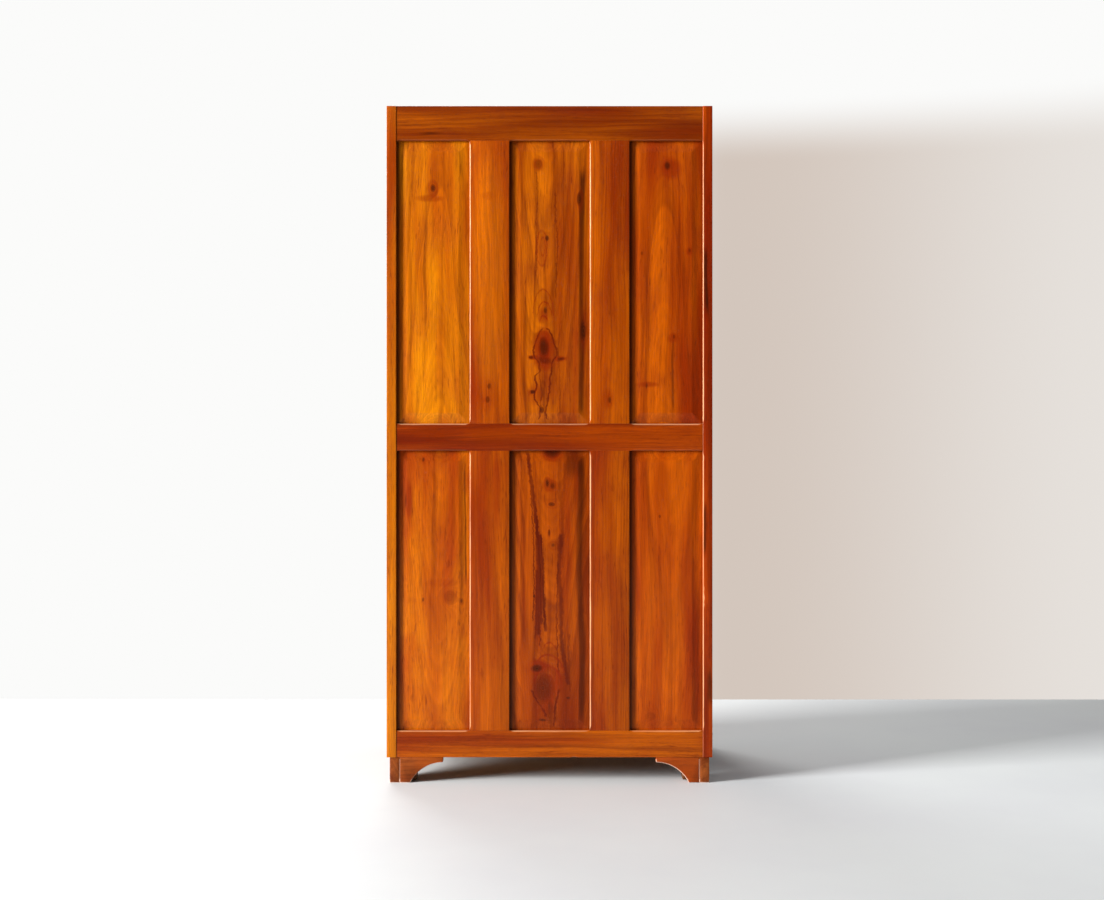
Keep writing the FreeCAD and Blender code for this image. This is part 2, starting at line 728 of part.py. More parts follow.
def add_boards():
    add("top_board", top_board_seat(0))
    keep = [keep_outline(-1), keep_hole(-1), *screw_holes(keep_screws(-1))]
    add("bottom_board", cut(bottom_board(), keep))
    front = door_back_y + shelf_setback
    add("hat_shelf", block(-inner_x + board_play, inner_x - board_play, front, back_inner_y - board_play,
                           shelf_top - shelf_thickness, shelf_top))
    add("shelf_cleats", [shelf_cleat(-1), shelf_cleat(1)])
    reach = inner_x - cleat_thickness + rod_socket_depth
    add("hanging_rod", rod(rod_radius, (-reach, middle_y, rod_level), (1, 0, 0), 2 * reach))


def add_doors():
    levels = [(door_bottom, door_bottom + door_bottom_rail_height), middle_rail_z,
              (door_top - door_top_rail_height, door_top)]
    stile_inner = door_inner_x + door_stile_width
    stile_outer = door_outer_x - door_stile_width
    rails, _, panels, tools = framed(stile_inner, stile_outer, levels, [], door_rail_tenon)
    place = lambda shape: turned(shape, 0, 0, face_y)
    rails, panels, tools = ([place(s) for s in group] for group in (rails, panels, tools))
    for side_name, side in (("left", -1), ("right", 1)):
        own = (lambda shape: shape) if side > 0 else mirrored
        plate_holes = [] if side > 0 else screw_holes(bolt_plate_screws(1) + bolt_plate_screws(-1))
        hinge_tools = leaf_recesses(False) + screw_holes(leaf_screws(False))
        hinge_stile = block(stile_outer, door_outer_x, face_y, door_back_y, door_bottom, door_top)
        meeting_stile = block(door_inner_x, stile_inner, face_y, door_back_y, door_bottom, door_top)
        add(f"{side_name}_door_hinge_stile", own(cut(hinge_stile, tools + hinge_tools)))
        meeting_stile = own(cut(meeting_stile, [*tools, knob_hole()]))
        if side > 0:
            extra = [lock_body(), key_slot(keyhole_play), *screw_holes(selvedge_screws()),
                     *pin_holes(escutcheon_pins(), pin_play)]
        else:
            extra = [lock_bolt(lock_bolt_play, lock_bolt_throw + bolt_end_play)]
        add(f"{side_name}_door_meeting_stile", cut(meeting_stile, extra + plate_holes))
        for name, rail in zip(("bottom", "middle", "top"), rails):
            add(f"{side_name}_door_{name}_rail", cut(own(rail), plate_holes))
        for name, panel in zip(("lower", "upper"), panels):
            add(f"{side_name}_door_{name}_panel", own(panel))
        add(f"{side_name}_door_hinge_leaves", [own(leaf) for leaf in hinge_leaves(False)])
        add(f"{side_name}_door_knob", own(knob()))


def add_hardware():
    frame_leaves = hinge_leaves(True)
    add("frame_hinge_leaves", frame_leaves + [mirrored(s) for s in frame_leaves])
    pins = hinge_pins()
    add("hinge_pins", pins + [mirrored(s) for s in pins])
    frame = screws(leaf_screws(True))
    door = screws(leaf_screws(False))
    add("frame_screws", frame + [mirrored(s) for s in frame] + screws(keep_screws(1) + keep_screws(-1)))
    plate_screws = screws(bolt_plate_screws(1) + bolt_plate_screws(-1))
    add("right_door_screws", door + screws(selvedge_screws()) + pin_holes(escutcheon_pins(), 0))
    add("left_door_screws", [mirrored(s) for s in door] + plate_screws)
    add("bolt_keeps", [bolt_keep(1), bolt_keep(-1)])
    add("bolt_plates", [bolt_plate(1), bolt_plate(-1)])
    add("top_door_bolt", bolt_rod(1))
    add("bottom_door_bolt", bolt_rod(-1))
    add("lock_case", lock_case())
    add("lock_bolt", lock_bolt())
    add("key", key())
    add("escutcheon", escutcheon())


def build():
    post_tools = []
    add_back(post_tools)
    add_sides(post_tools)
    add_front(post_tools)
    add_posts(post_tools)
    add_boards()
    sides, faces, blocks = feet()
    add("foot_side_brackets", sides)
    add("foot_face_brackets", faces)
    add("foot_glue_blocks", blocks)
    add_doors()
    add_hardware()


def export():
    os.makedirs("parts", exist_ok=True)
    for name, shapes in sorted(nodes.items()):
        solids = [solid for shape in shapes for solid in shape.Solids]
        assert solids and all(s.isValid() and s.Volume > 0 for s in solids), name
        whole = solids[0] if len(solids) == 1 else Part.makeCompound(solids)
        whole.exportStep(f"parts/{name}.step")
    print(len(nodes), "nodes,", sum(len(s.Solids) for shapes in nodes.values() for s in shapes), "solids")


build()
export()
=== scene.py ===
import bpy
import bmesh
import math
import numpy as np
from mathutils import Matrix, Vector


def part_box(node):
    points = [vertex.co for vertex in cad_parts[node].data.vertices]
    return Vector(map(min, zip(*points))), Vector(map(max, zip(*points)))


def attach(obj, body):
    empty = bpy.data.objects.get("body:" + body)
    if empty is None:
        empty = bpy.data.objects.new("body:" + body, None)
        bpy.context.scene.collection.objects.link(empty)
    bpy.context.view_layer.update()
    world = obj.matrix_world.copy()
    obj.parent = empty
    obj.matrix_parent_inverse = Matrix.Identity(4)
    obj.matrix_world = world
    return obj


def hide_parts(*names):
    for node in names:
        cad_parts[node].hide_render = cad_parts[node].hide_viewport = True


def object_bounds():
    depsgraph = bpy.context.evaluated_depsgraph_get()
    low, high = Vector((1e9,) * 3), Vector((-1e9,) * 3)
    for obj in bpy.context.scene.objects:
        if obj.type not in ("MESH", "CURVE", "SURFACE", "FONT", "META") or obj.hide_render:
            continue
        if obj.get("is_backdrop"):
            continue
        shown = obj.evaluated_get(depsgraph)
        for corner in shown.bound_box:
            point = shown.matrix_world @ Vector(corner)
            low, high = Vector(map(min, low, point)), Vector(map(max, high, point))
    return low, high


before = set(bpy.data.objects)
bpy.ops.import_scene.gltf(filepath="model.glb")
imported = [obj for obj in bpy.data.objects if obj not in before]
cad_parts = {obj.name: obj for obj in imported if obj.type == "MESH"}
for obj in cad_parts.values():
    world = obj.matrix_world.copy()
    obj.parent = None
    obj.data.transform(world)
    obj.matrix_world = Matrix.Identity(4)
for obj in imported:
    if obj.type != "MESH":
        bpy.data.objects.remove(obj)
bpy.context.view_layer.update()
print("frame loaded:", len(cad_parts), "nodes")

axisX, axisY, axisZ = 0, 1, 2

# the section of a grooved rail, measured inwards from its show face
joinery = {
    "grooveStart": 0.011,
    "grooveEnd": 0.017,
    "grooveDepth": 0.009,
    "tongue": 0.008,
    "inset": 0.0015,  # rails and doors lie this far behind the posts
}


def corners(node):
    # lowest and highest corner of a node as two arrays
    low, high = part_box(node)
    return np.array(low), np.array(high)


def unit(vectors):
    return vectors / np.linalg.norm(vectors, axis=-1, keepdims=True)


def fadeIn(value, start, end):
    # smooth step: 0 at start, 1 at end, 3t^2 - 2t^3 between
    t = np.clip((value - start) / (end - start), 0, 1)
    return t * t * (3 - 2 * t)


def makePiece(node, points, faces, values, body, finish, sharp):
    # one closed piece from its points and faces, with a value per point for each attribute
    mesh = bpy.data.meshes.new(node + "_piece")
    mesh.from_pydata(points.tolist(), [], faces)
    for label, numbers in values.items():
        layer = mesh.attributes.new(label, "FLOAT", "POINT")
        layer.data.foreach_set("value", np.asarray(numbers, dtype=np.float32))
    shell = bmesh.new()
    shell.from_mesh(mesh)
    bmesh.ops.recalc_face_normals(shell, faces=shell.faces)
    shell.to_mesh(mesh)
    shell.free()
    return finishPiece(mesh, node, body, finish, sharp)


def finishPiece(mesh, node, body, finish, sharp):
    mesh.polygons.foreach_set("use_smooth", [True] * len(mesh.polygons))
    mesh.set_sharp_from_angle(angle=math.radians(sharp))
    mesh.materials.append(finish)
    piece = bpy.data.objects.new(node + "_piece", mesh)
    bpy.context.scene.collection.objects.link(piece)
    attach(piece, body)
    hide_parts(node)
    return piece


def ringFaces(rings, around):
    # quads between neighbouring closed rings of points, and a flat face at each end
    ring, point = np.meshgrid(np.arange(rings - 1), np.arange(around), indexing="ij")
    beside = (point + 1) % around
    quads = np.stack([ring * around + point, ring * around + beside,
                      (ring + 1) * around + beside, (ring + 1) * around + point], axis=-1)
    faces = quads.reshape(-1, 4).tolist()
    faces.append(list(range(around)))
    faces.append(list(range((rings - 1) * around, rings * around)))
    return faces


def boardSection(width, thickness, grooves):
    # corners round a board's section, from the low corner of its show face; depth runs inwards
    section = [(0, 0), (width, 0)]
    kinds = ["faceLow", "faceHigh"]
    if "high" in grooves:
        start, end, depth = grooves["high"]
        section += [(width, start), (width - depth, start), (width - depth, end), (width, end)]
        kinds += ["groove"] * 4
    section.append((width, thickness))
    kinds.append("backHigh")
    if "back" in grooves:
        start, end, depth = grooves["back"]
        section += [(end, thickness), (end, thickness - depth)]
        section += [(start, thickness - depth), (start, thickness)]
        kinds += ["groove"] * 4
    section.append((0, thickness))
    kinds.append("backLow")
    if "low" in grooves:
        start, end, depth = grooves["low"]
        section += [(0, end), (depth, end), (depth, start), (0, start)]
        kinds += ["groove"] * 4
    return np.array(section, dtype=float), kinds


def roundedRings(section, kinds, radii, inset, wearAndHighlightShare):
    # each square corner becomes a quarter circle: corner + r (1 - sin a) back + r (1 - cos a) on,
    # after the corner has moved inwards by the inset of its ring; the last argument says how pale each arris
    # is painted, for worn finish and as a painted highlight on arrises turned to the light
    back = unit(np.roll(section, 1, axis=0) - section)
    on = unit(np.roll(section, -1, axis=0) - section)
    turn = np.sign(on[:, 0] * -back[:, 1] + on[:, 1] * back[:, 0])
    turn = turn * turn[0]  # 1 at an outside corner, -1 at an inside one
    parts, wearAndHighlightAmount = [], []
    for number, kind in enumerate(kinds):
        steps = 2 if kind == "groove" else 6
        angle = np.linspace(0, math.pi / 2, steps)
        radius = np.maximum(radii[kind] - turn[number] * inset, 0.00002)
        corner = section[number] + turn[number] * inset[:, None] * (back[number] + on[number])
        arc = ((1 - np.sin(angle))[None, :, None] * back[number]
               + (1 - np.cos(angle))[None, :, None] * on[number])
        parts.append(corner[:, None, :] + radius[:, None, None] * arc)
        bend = np.sin(2 * angle) if kind != "groove" else np.zeros(steps)
        wearAndHighlightAmount.append(bend[None, :] * np.minimum(1, radius / 0.003)[:, None] * wearAndHighlightShare.get(kind, 0.5))
    return np.concatenate(parts, axis=1), np.concatenate(wearAndHighlightAmount, axis=1)


boardMake = {
    "step": 0.006,  # distance between rings along a board
    "endRound": 0.0007,  # easing at its two ends
    "runOut": 0.014,  # an arris starts and stops over this length
    "waver": 0.14,  # share by which its width comes and goes
    "waverEvery": 0.05,
    "chipsPerMetre": 2.2,
    "chipDepth": 0.0016,
}


def board(low, high, along, through, outer, grooves, arris, easing, seed):
    # a board between two corners of space: its section is carried along one axis, and the radius of
    # each corner is a function of the place along it, so an arris can stop and start and have chips
    across = 3 - along - through
    width = high[across] - low[across]
    thickness = high[through] - low[through]
    length = high[along] - low[along]
    section, kinds = boardSection(width, thickness, grooves)
    ends, runOut = boardMake["endRound"], boardMake["runOut"]
    angle = np.radians([90, 50, 20, 0])
    inner = np.linspace(ends, length - ends, max(2, int(length / boardMake["step"])))[1:-1]
    start, sink = ends * (1 - np.sin(angle)), ends * (1 - np.cos(angle))
    place = np.concatenate([start, inner, length - start[::-1]])
    inset = np.concatenate([sink, np.zeros(len(inner)), sink[::-1]])
    wavers = max(3, int(length / boardMake["waverEvery"]))
    dice = np.random.default_rng(seed)
    radii = {"groove": np.full(len(place), 0.0003)}
    for kind in ("faceLow", "faceHigh", "backLow", "backHigh"):
        radius = np.full(len(place), easing)
        for start, end, size in arris.get(kind, []):
            spot = place + low[along]
            inside = fadeIn(spot, start, start + runOut) * fadeIn(spot, end, end - runOut)
            radius = radius + (size - easing) * inside
        waver = np.interp(place, np.linspace(0, length, wavers), dice.uniform(-1, 1, wavers))
        radius = radius * (1 + boardMake["waver"] * waver)
        for chip in range(int(length * boardMake["chipsPerMetre"])):
            middle, reach = dice.uniform(0, length), dice.uniform(0.002, 0.007)
            bite = boardMake["chipDepth"] * dice.uniform(0.2, 1) ** 3
            radius = radius + bite * np.exp(-((place - middle) / reach) ** 2)
        for middle, reach, bite in arris.get(kind + "Chips", []):
            radius = radius + bite * np.exp(-((place + low[along] - middle) / reach) ** 2)
        radii[kind] = radius
    rings, wearAndHighlightAmount = roundedRings(section, kinds, radii, inset, arris.get("wearAndHighlightShare", {}))
    points = np.empty(rings.shape[:2] + (3,))
    points[..., along] = low[along] + place[:, None]
    points[..., across] = low[across] + rings[..., 0]
    points[..., through] = high[through] - rings[..., 1] if outer > 0 else low[through] + rings[..., 1]
    return points.reshape(-1, 3), ringFaces(*rings.shape[:2]), wearAndHighlightAmount.reshape(-1)


def gather(shapes):
    # several shapes as one mesh; "board" numbers them, so that each is cut from another part of the tree
    points, faces, wearAndHighlightAmount, number, start = [], [], [], [], 0
    for order, (spots, sides, worn) in enumerate(shapes):
        points.append(spots)
        faces += [[corner + start for corner in side] for side in sides]
        wearAndHighlightAmount.append(worn)
        number.append(np.full(len(spots), float(order)))
        start += len(spots)
    return np.concatenate(points), faces, {"worn": np.concatenate(wearAndHighlightAmount), "board": np.concatenate(number)}


def flipped(shape):
    # the same shape on the other side of the wardrobe
    points, faces, worn = shape
    return points * np.array([-1, 1, 1]), faces, worn


def panel(low, high, across, along, through, outer, make, seed):
    # a fielded panel: height over the tongue is a function of the distance d to the nearest edge of its
    # opening: nothing up to the reveal, then rise (t + hollow t (t - 1)) over the bevel with t = 0..1,
    # then a small quirk and a field that bows a little; the back is flat
    reveal, bevel, rise = make["reveal"], make["bevel"], make["rise"]
    margin = np.concatenate([[-joinery["tongue"], -0.002, reveal],
                             reveal + bevel * np.linspace(0, 1, 8)[1:],
                             reveal + bevel + np.array([0.0003, 0.0009, 0.0018, 0.005])])
    size = np.array([high[across] - low[across], high[along] - low[along]])

    def lines(length, spacing):
        middle = np.linspace(margin[-1], length - margin[-1], max(3, int(length / spacing)))[1:-1]
        return np.concatenate([margin, middle, length - margin[::-1]])

    u, v = np.meshgrid(lines(size[0], 0.016), lines(size[1], 0.024), indexing="ij")
    d = np.minimum(np.minimum(u, size[0] - u), np.minimum(v, size[1] - v))
    t = np.clip((d - reveal) / bevel, 0, 1)
    slope = (rise - make["quirk"]) * (t + make["hollow"] * t * (t - 1))
    height = slope + make["quirk"] * fadeIn(d, reveal + bevel, reveal + bevel + 0.0015)
    dice = np.random.default_rng(seed)
    phase = dice.uniform(0, 6.28, 4)
    field = fadeIn(d, reveal + bevel, reveal + bevel + 0.03)
    bow = (np.sin(u * 26 + phase[0] + v * 3) + np.sin(v * 9 + phase[1])
           + 0.6 * np.sin(v * 23 + u * 14 + phase[2]))
    height = height + field * make["bow"] * bow
    face = high[through] if outer > 0 else low[through]
    front = np.empty(u.shape + (3,))
    front[..., across] = low[across] + u
    front[..., along] = low[along] + v
    front[..., through] = face - outer * (joinery["grooveStart"] - height)
    back = front.copy()
    back[..., through] = face - outer * joinery["grooveEnd"]
    n, m = u.shape
    i, j = np.meshgrid(np.arange(n - 1), np.arange(m - 1), indexing="ij")
    a, b, c, e = i * m + j, (i + 1) * m + j, (i + 1) * m + j + 1, i * m + j + 1
    rising = ((i < (n - 1) / 2) == (j < (m - 1) / 2))[..., None]  # mitres run out from the corners
    first = np.where(rising, np.stack([a, b, c], -1), np.stack([a, b, e], -1)).reshape(-1, 3)
    second = np.where(rising, np.stack([a, c, e], -1), np.stack([b, c, e], -1)).reshape(-1, 3)
    top = np.concatenate([first, second])
    edge = np.concatenate([np.arange(m - 1), np.arange(n - 1) * m + m - 1,
                           (n - 1) * m + np.arange(m - 1, 0, -1), np.arange(n - 1, 0, -1) * m])
    ahead = np.roll(edge, -1)
    rim = np.stack([edge, ahead, ahead + n * m, edge + n * m], -1)
    faces = top.tolist() + (top[:, ::-1] + n * m).tolist() + rim.tolist()
    return np.concatenate([front.reshape(-1, 3), back.reshape(-1, 3)]), faces, np.zeros(2 * n * m)


def easedCopy(node, width, shortest, steep):
    # a merged copy of a node's mesh, with its longer outside edges eased by the given width
    shell = bmesh.new()
    shell.from_mesh(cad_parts[node].data)
    bmesh.ops.remove_doubles(shell, verts=shell.verts, dist=0.000004)
    bmesh.ops.dissolve_limit(shell, angle_limit=math.radians(0.6), verts=shell.verts, edges=shell.edges)
    bmesh.ops.recalc_face_normals(shell, faces=shell.faces)
    worn = shell.verts.layers.float.new("worn")
    number = shell.verts.layers.float.new("board")
    edges = [edge for edge in shell.edges
             if edge.is_manifold and edge.calc_length() > shortest
             and edge.calc_face_angle_signed(0) > math.radians(steep)]
    if width > 0 and edges:
        made = bmesh.ops.bevel(shell, geom=edges, offset=width, offset_type="OFFSET", segments=2,
                               profile=0.5, affect="EDGES", clamp_overlap=True)
        rounded = set(made["faces"])
        for vert in made["verts"]:
            if all(face in rounded for face in vert.link_faces):
                vert[worn] = 0.6
    left, order = set(shell.verts), 0
    for first in shell.verts:  # number the separate solids
        if first not in left:
            continue
        left.discard(first)
        reached = [first]
        while reached:
            vert = reached.pop()
            vert[number] = float(order)
            for edge in vert.link_edges:
                other = edge.other_vert(vert)
                if other in left:
                    left.discard(other)
                    reached.append(other)
        order += 1
    mesh = bpy.data.meshes.new(node + "_piece")
    shell.to_mesh(mesh)
    shell.free()
    return mesh


class Wire:
    # an output of a node; arithmetic on it adds Math nodes

    def __init__(self, maker, socket):
        self.maker = maker
        self.socket = socket

    def other(self, name):
        return Wire(self.maker, self.socket.node.outputs[name])

    def maths(self, operation, *rest):
        return self.maker.node("ShaderNodeMath", {"operation": operation}, [self, *rest])

    def __add__(self, more):
        return self.maths("ADD", more)

    def __mul__(self, more):
        return self.maths("MULTIPLY", more)

    def __sub__(self, less):
        return self.maths("SUBTRACT", less)

    def __rsub__(self, whole):
        return self.maker.node("ShaderNodeMath", {"operation": "SUBTRACT"}, [whole, self])

    def __truediv__(self, by):
        return self.maths("DIVIDE", by)

    def __pow__(self, power):
        return self.maths("POWER", power)

    __radd__ = __add__
    __rmul__ = __mul__


class Finish:
    # one material, or the room's air, and its nodes

    def __init__(self, name, room=None):
        self.material = room or bpy.data.materials.new(name)
        self.material.use_nodes = True
        self.tree = self.material.node_tree
        self.shader = self.tree.nodes["Background" if room else "Principled BSDF"]

    def node(self, kind, settings, values, output=0):
        made = self.tree.nodes.new(kind)
        for label, setting in settings.items():
            if label == "points":
                self.shapeCurve(made.mapping, setting)
            else:
                setattr(made, label, setting)
        named = values.items() if isinstance(values, dict) else enumerate(values)
        for place, value in named:
            socket = self.find(made.inputs, place)
            if isinstance(value, Wire):
                self.tree.links.new(value.socket, socket)
            else:
                socket.default_value = value
        return Wire(self, self.find(made.outputs, output))

    def find(self, sockets, place):
        if isinstance(place, int):
            return sockets[place]
        for socket in sockets:
            if socket.identifier == place:
                return socket
        return sockets[place]

    def shapeCurve(self, mapping, points):
        curve = mapping.curves[0]
        for number, point in enumerate(points):
            if number < len(curve.points):
                curve.points[number].location = point
            else:
                curve.points.new(*point)
        mapping.update()

    def place(self):
        # the three coordinates of the shaded point
        parts = self.node("ShaderNodeSeparateXYZ", {}, [self.node("ShaderNodeTexCoord", {}, {}, "Object")])
        return parts, parts.other("Y"), parts.other("Z")

    def attribute(self, name):
        return self.node("ShaderNodeAttribute", {"attribute_name": name}, {}, "Fac")

    def noise(self, place, detail=2.0, rough=0.5, output=0):
        return self.node("ShaderNodeTexNoise", {}, {"Vector": place, "Scale": 1.0, "Detail": detail,
                                                    "Roughness": rough}, output)

    def vector(self, x, y, z):
        return self.node("ShaderNodeCombineXYZ", {}, [x, y, z])

    def fade(self, value, start, end, low=0.0, high=1.0):
        # smooth step from low at start to high at end
        return self.node("ShaderNodeMapRange", {"interpolation_type": "SMOOTHSTEP"},
                         [value, start, end, low, high])

    def mix(self, share, first, second, blend="MIX"):
        return self.node("ShaderNodeMix", {"data_type": "RGBA", "blend_type": blend},
                         {"Factor_Float": share, "A_Color": first, "B_Color": second}, "Result_Color")

    def shaded(self, colour, share):
        # a colour made lighter or darker by a value
        return self.node("ShaderNodeVectorMath", {"operation": "SCALE"}, {"Vector": colour, "Scale": share})

    def surface(self, colour, rough, height, depth, **fixed):
        bump = self.node("ShaderNodeBump", {}, {"Strength": 1.0, "Distance": depth, "Height": height})
        self.tree.links.new(colour.socket, self.shader.inputs["Base Color"])
        self.tree.links.new(rough.socket, self.shader.inputs["Roughness"])
        self.tree.links.new(bump.socket, self.shader.inputs["Normal"])
        for label, value in fixed.items():
            self.shader.inputs[label.replace("_", " ")].default_value = value
        return self.material


def tone(red, green, blue):
    # a colour as a painter mixes it, 0 to 255, in linear light
    share = np.array([red, green, blue]) / 255
    linear = np.where(share <= 0.04045, share / 12.92, ((share + 0.055) / 1.055) ** 2.4)
    return (*linear.tolist(), 1.0)


teakDefaults = {
    "axes": (axisZ, axisX, axisY),  # along, across, through
    "light": tone(226, 122, 28),
    "deep": tone(150, 62, 8),
    "late": tone(96, 24, 0),  # knots, and the painted shadow with dark old polish along panel edges
    "heart": tone(50, 11, 0),  # knots and grime
    "mark": tone(88, 17, 0),  # wandering dark lines
    "stain": tone(126, 28, 0),  # red-brown resin spread in the wood
    "pale": tone(250, 190, 140),  # where the finish is rubbed off, and the painted highlight along arrises turned to the light
    "sheen": (1.0, 0.62, 0.36, 1.0),  # the amber shellac colours what it reflects
    "pith": (0, 50),  # middle of the tree: across, and behind the face
    "taper": 0.02,  # ring lines close into arches; the sign turns the arches over
    "ring": 7,
    "depth": 0.35,
    "lines": 0.5,
    "streaks": 0.5,
    "flecks": 1.05,
    "blotches": 0.45,
    "dashes": 0.5,  # short dark strokes along the grain
    "warp": 1.0,
    "wearAndHighlightAmount": 0.8,
    "gloss": 0.30,
    "specular": 0.26,
    "seed": 0.0,
}

# marks placed on a board: how many numbers of each are lengths, then what the numbers are
markLengths = {
    "knots": 4,  # across, along, half width, half height, rings pushed aside, darkness
    "bands": 4,  # across, from, to, half width, darkness
    "traces": 4,  # from, to, places across at even steps between, half width, darkness
    "loops": 5,  # across, along, half width, half height, lowest, line share, darkness
    "stains": 4,  # across, along, half width, half height, darkness, another colour if wanted
    "shadowAndPolish": 2,  # across, half width, darkness: a dark strip along a panel's edge, painted shadow of the frame with old polish gone dark in a corner
    "glow": 4,  # across, along, half width, half height, gain
    "rubs": 4,  # across, along, half width, half height, more wear
}


def inMetres(lengths):
    # lengths in a look are in millimetres
    return [[part / 1000 for part in length] if isinstance(length, list) else length / 1000
            for length in lengths]


def traceMask(maker, across, along, start, end, places, half, dark):
    # a dark line of the grain: its place across is a smooth curve through evenly spaced points
    low, high = min(places) - 0.001, max(places) + 0.001
    steps = len(places) - 1
    points = [(number / steps, (place - low) / (high - low)) for number, place in enumerate(places)]
    path = maker.node("ShaderNodeFloatCurve", {"points": points}, {"Value": (along - start) / (end - start)})
    offset = (across - (path * (high - low) + low)) / half
    ends = maker.fade(along, start, start + 0.007) * maker.fade(along, end, end - 0.007)
    return maker.fade(offset * offset, 2.2, 0.0, 0.0, dark) * ends


def oval(across, along, x, z, halfWide, halfHigh):
    # (dx / a)^2 + (dz / b)^2: 0 at the middle, 1 on the oval line
    dx, dz = (across - x) / halfWide, (along - z) / halfHigh
    return dx * dx + dz * dz


def loopMask(maker, across, along, x, z, halfWide, halfHigh, lowest, share, dark):
    # part of an oval line, above a level
    off = (oval(across, along, x, z, halfWide, halfHigh) - 1.0).maths("ABSOLUTE")
    return maker.fade(off, share, 0.0, 0.0, dark) * maker.fade(along, lowest, lowest + 0.02)


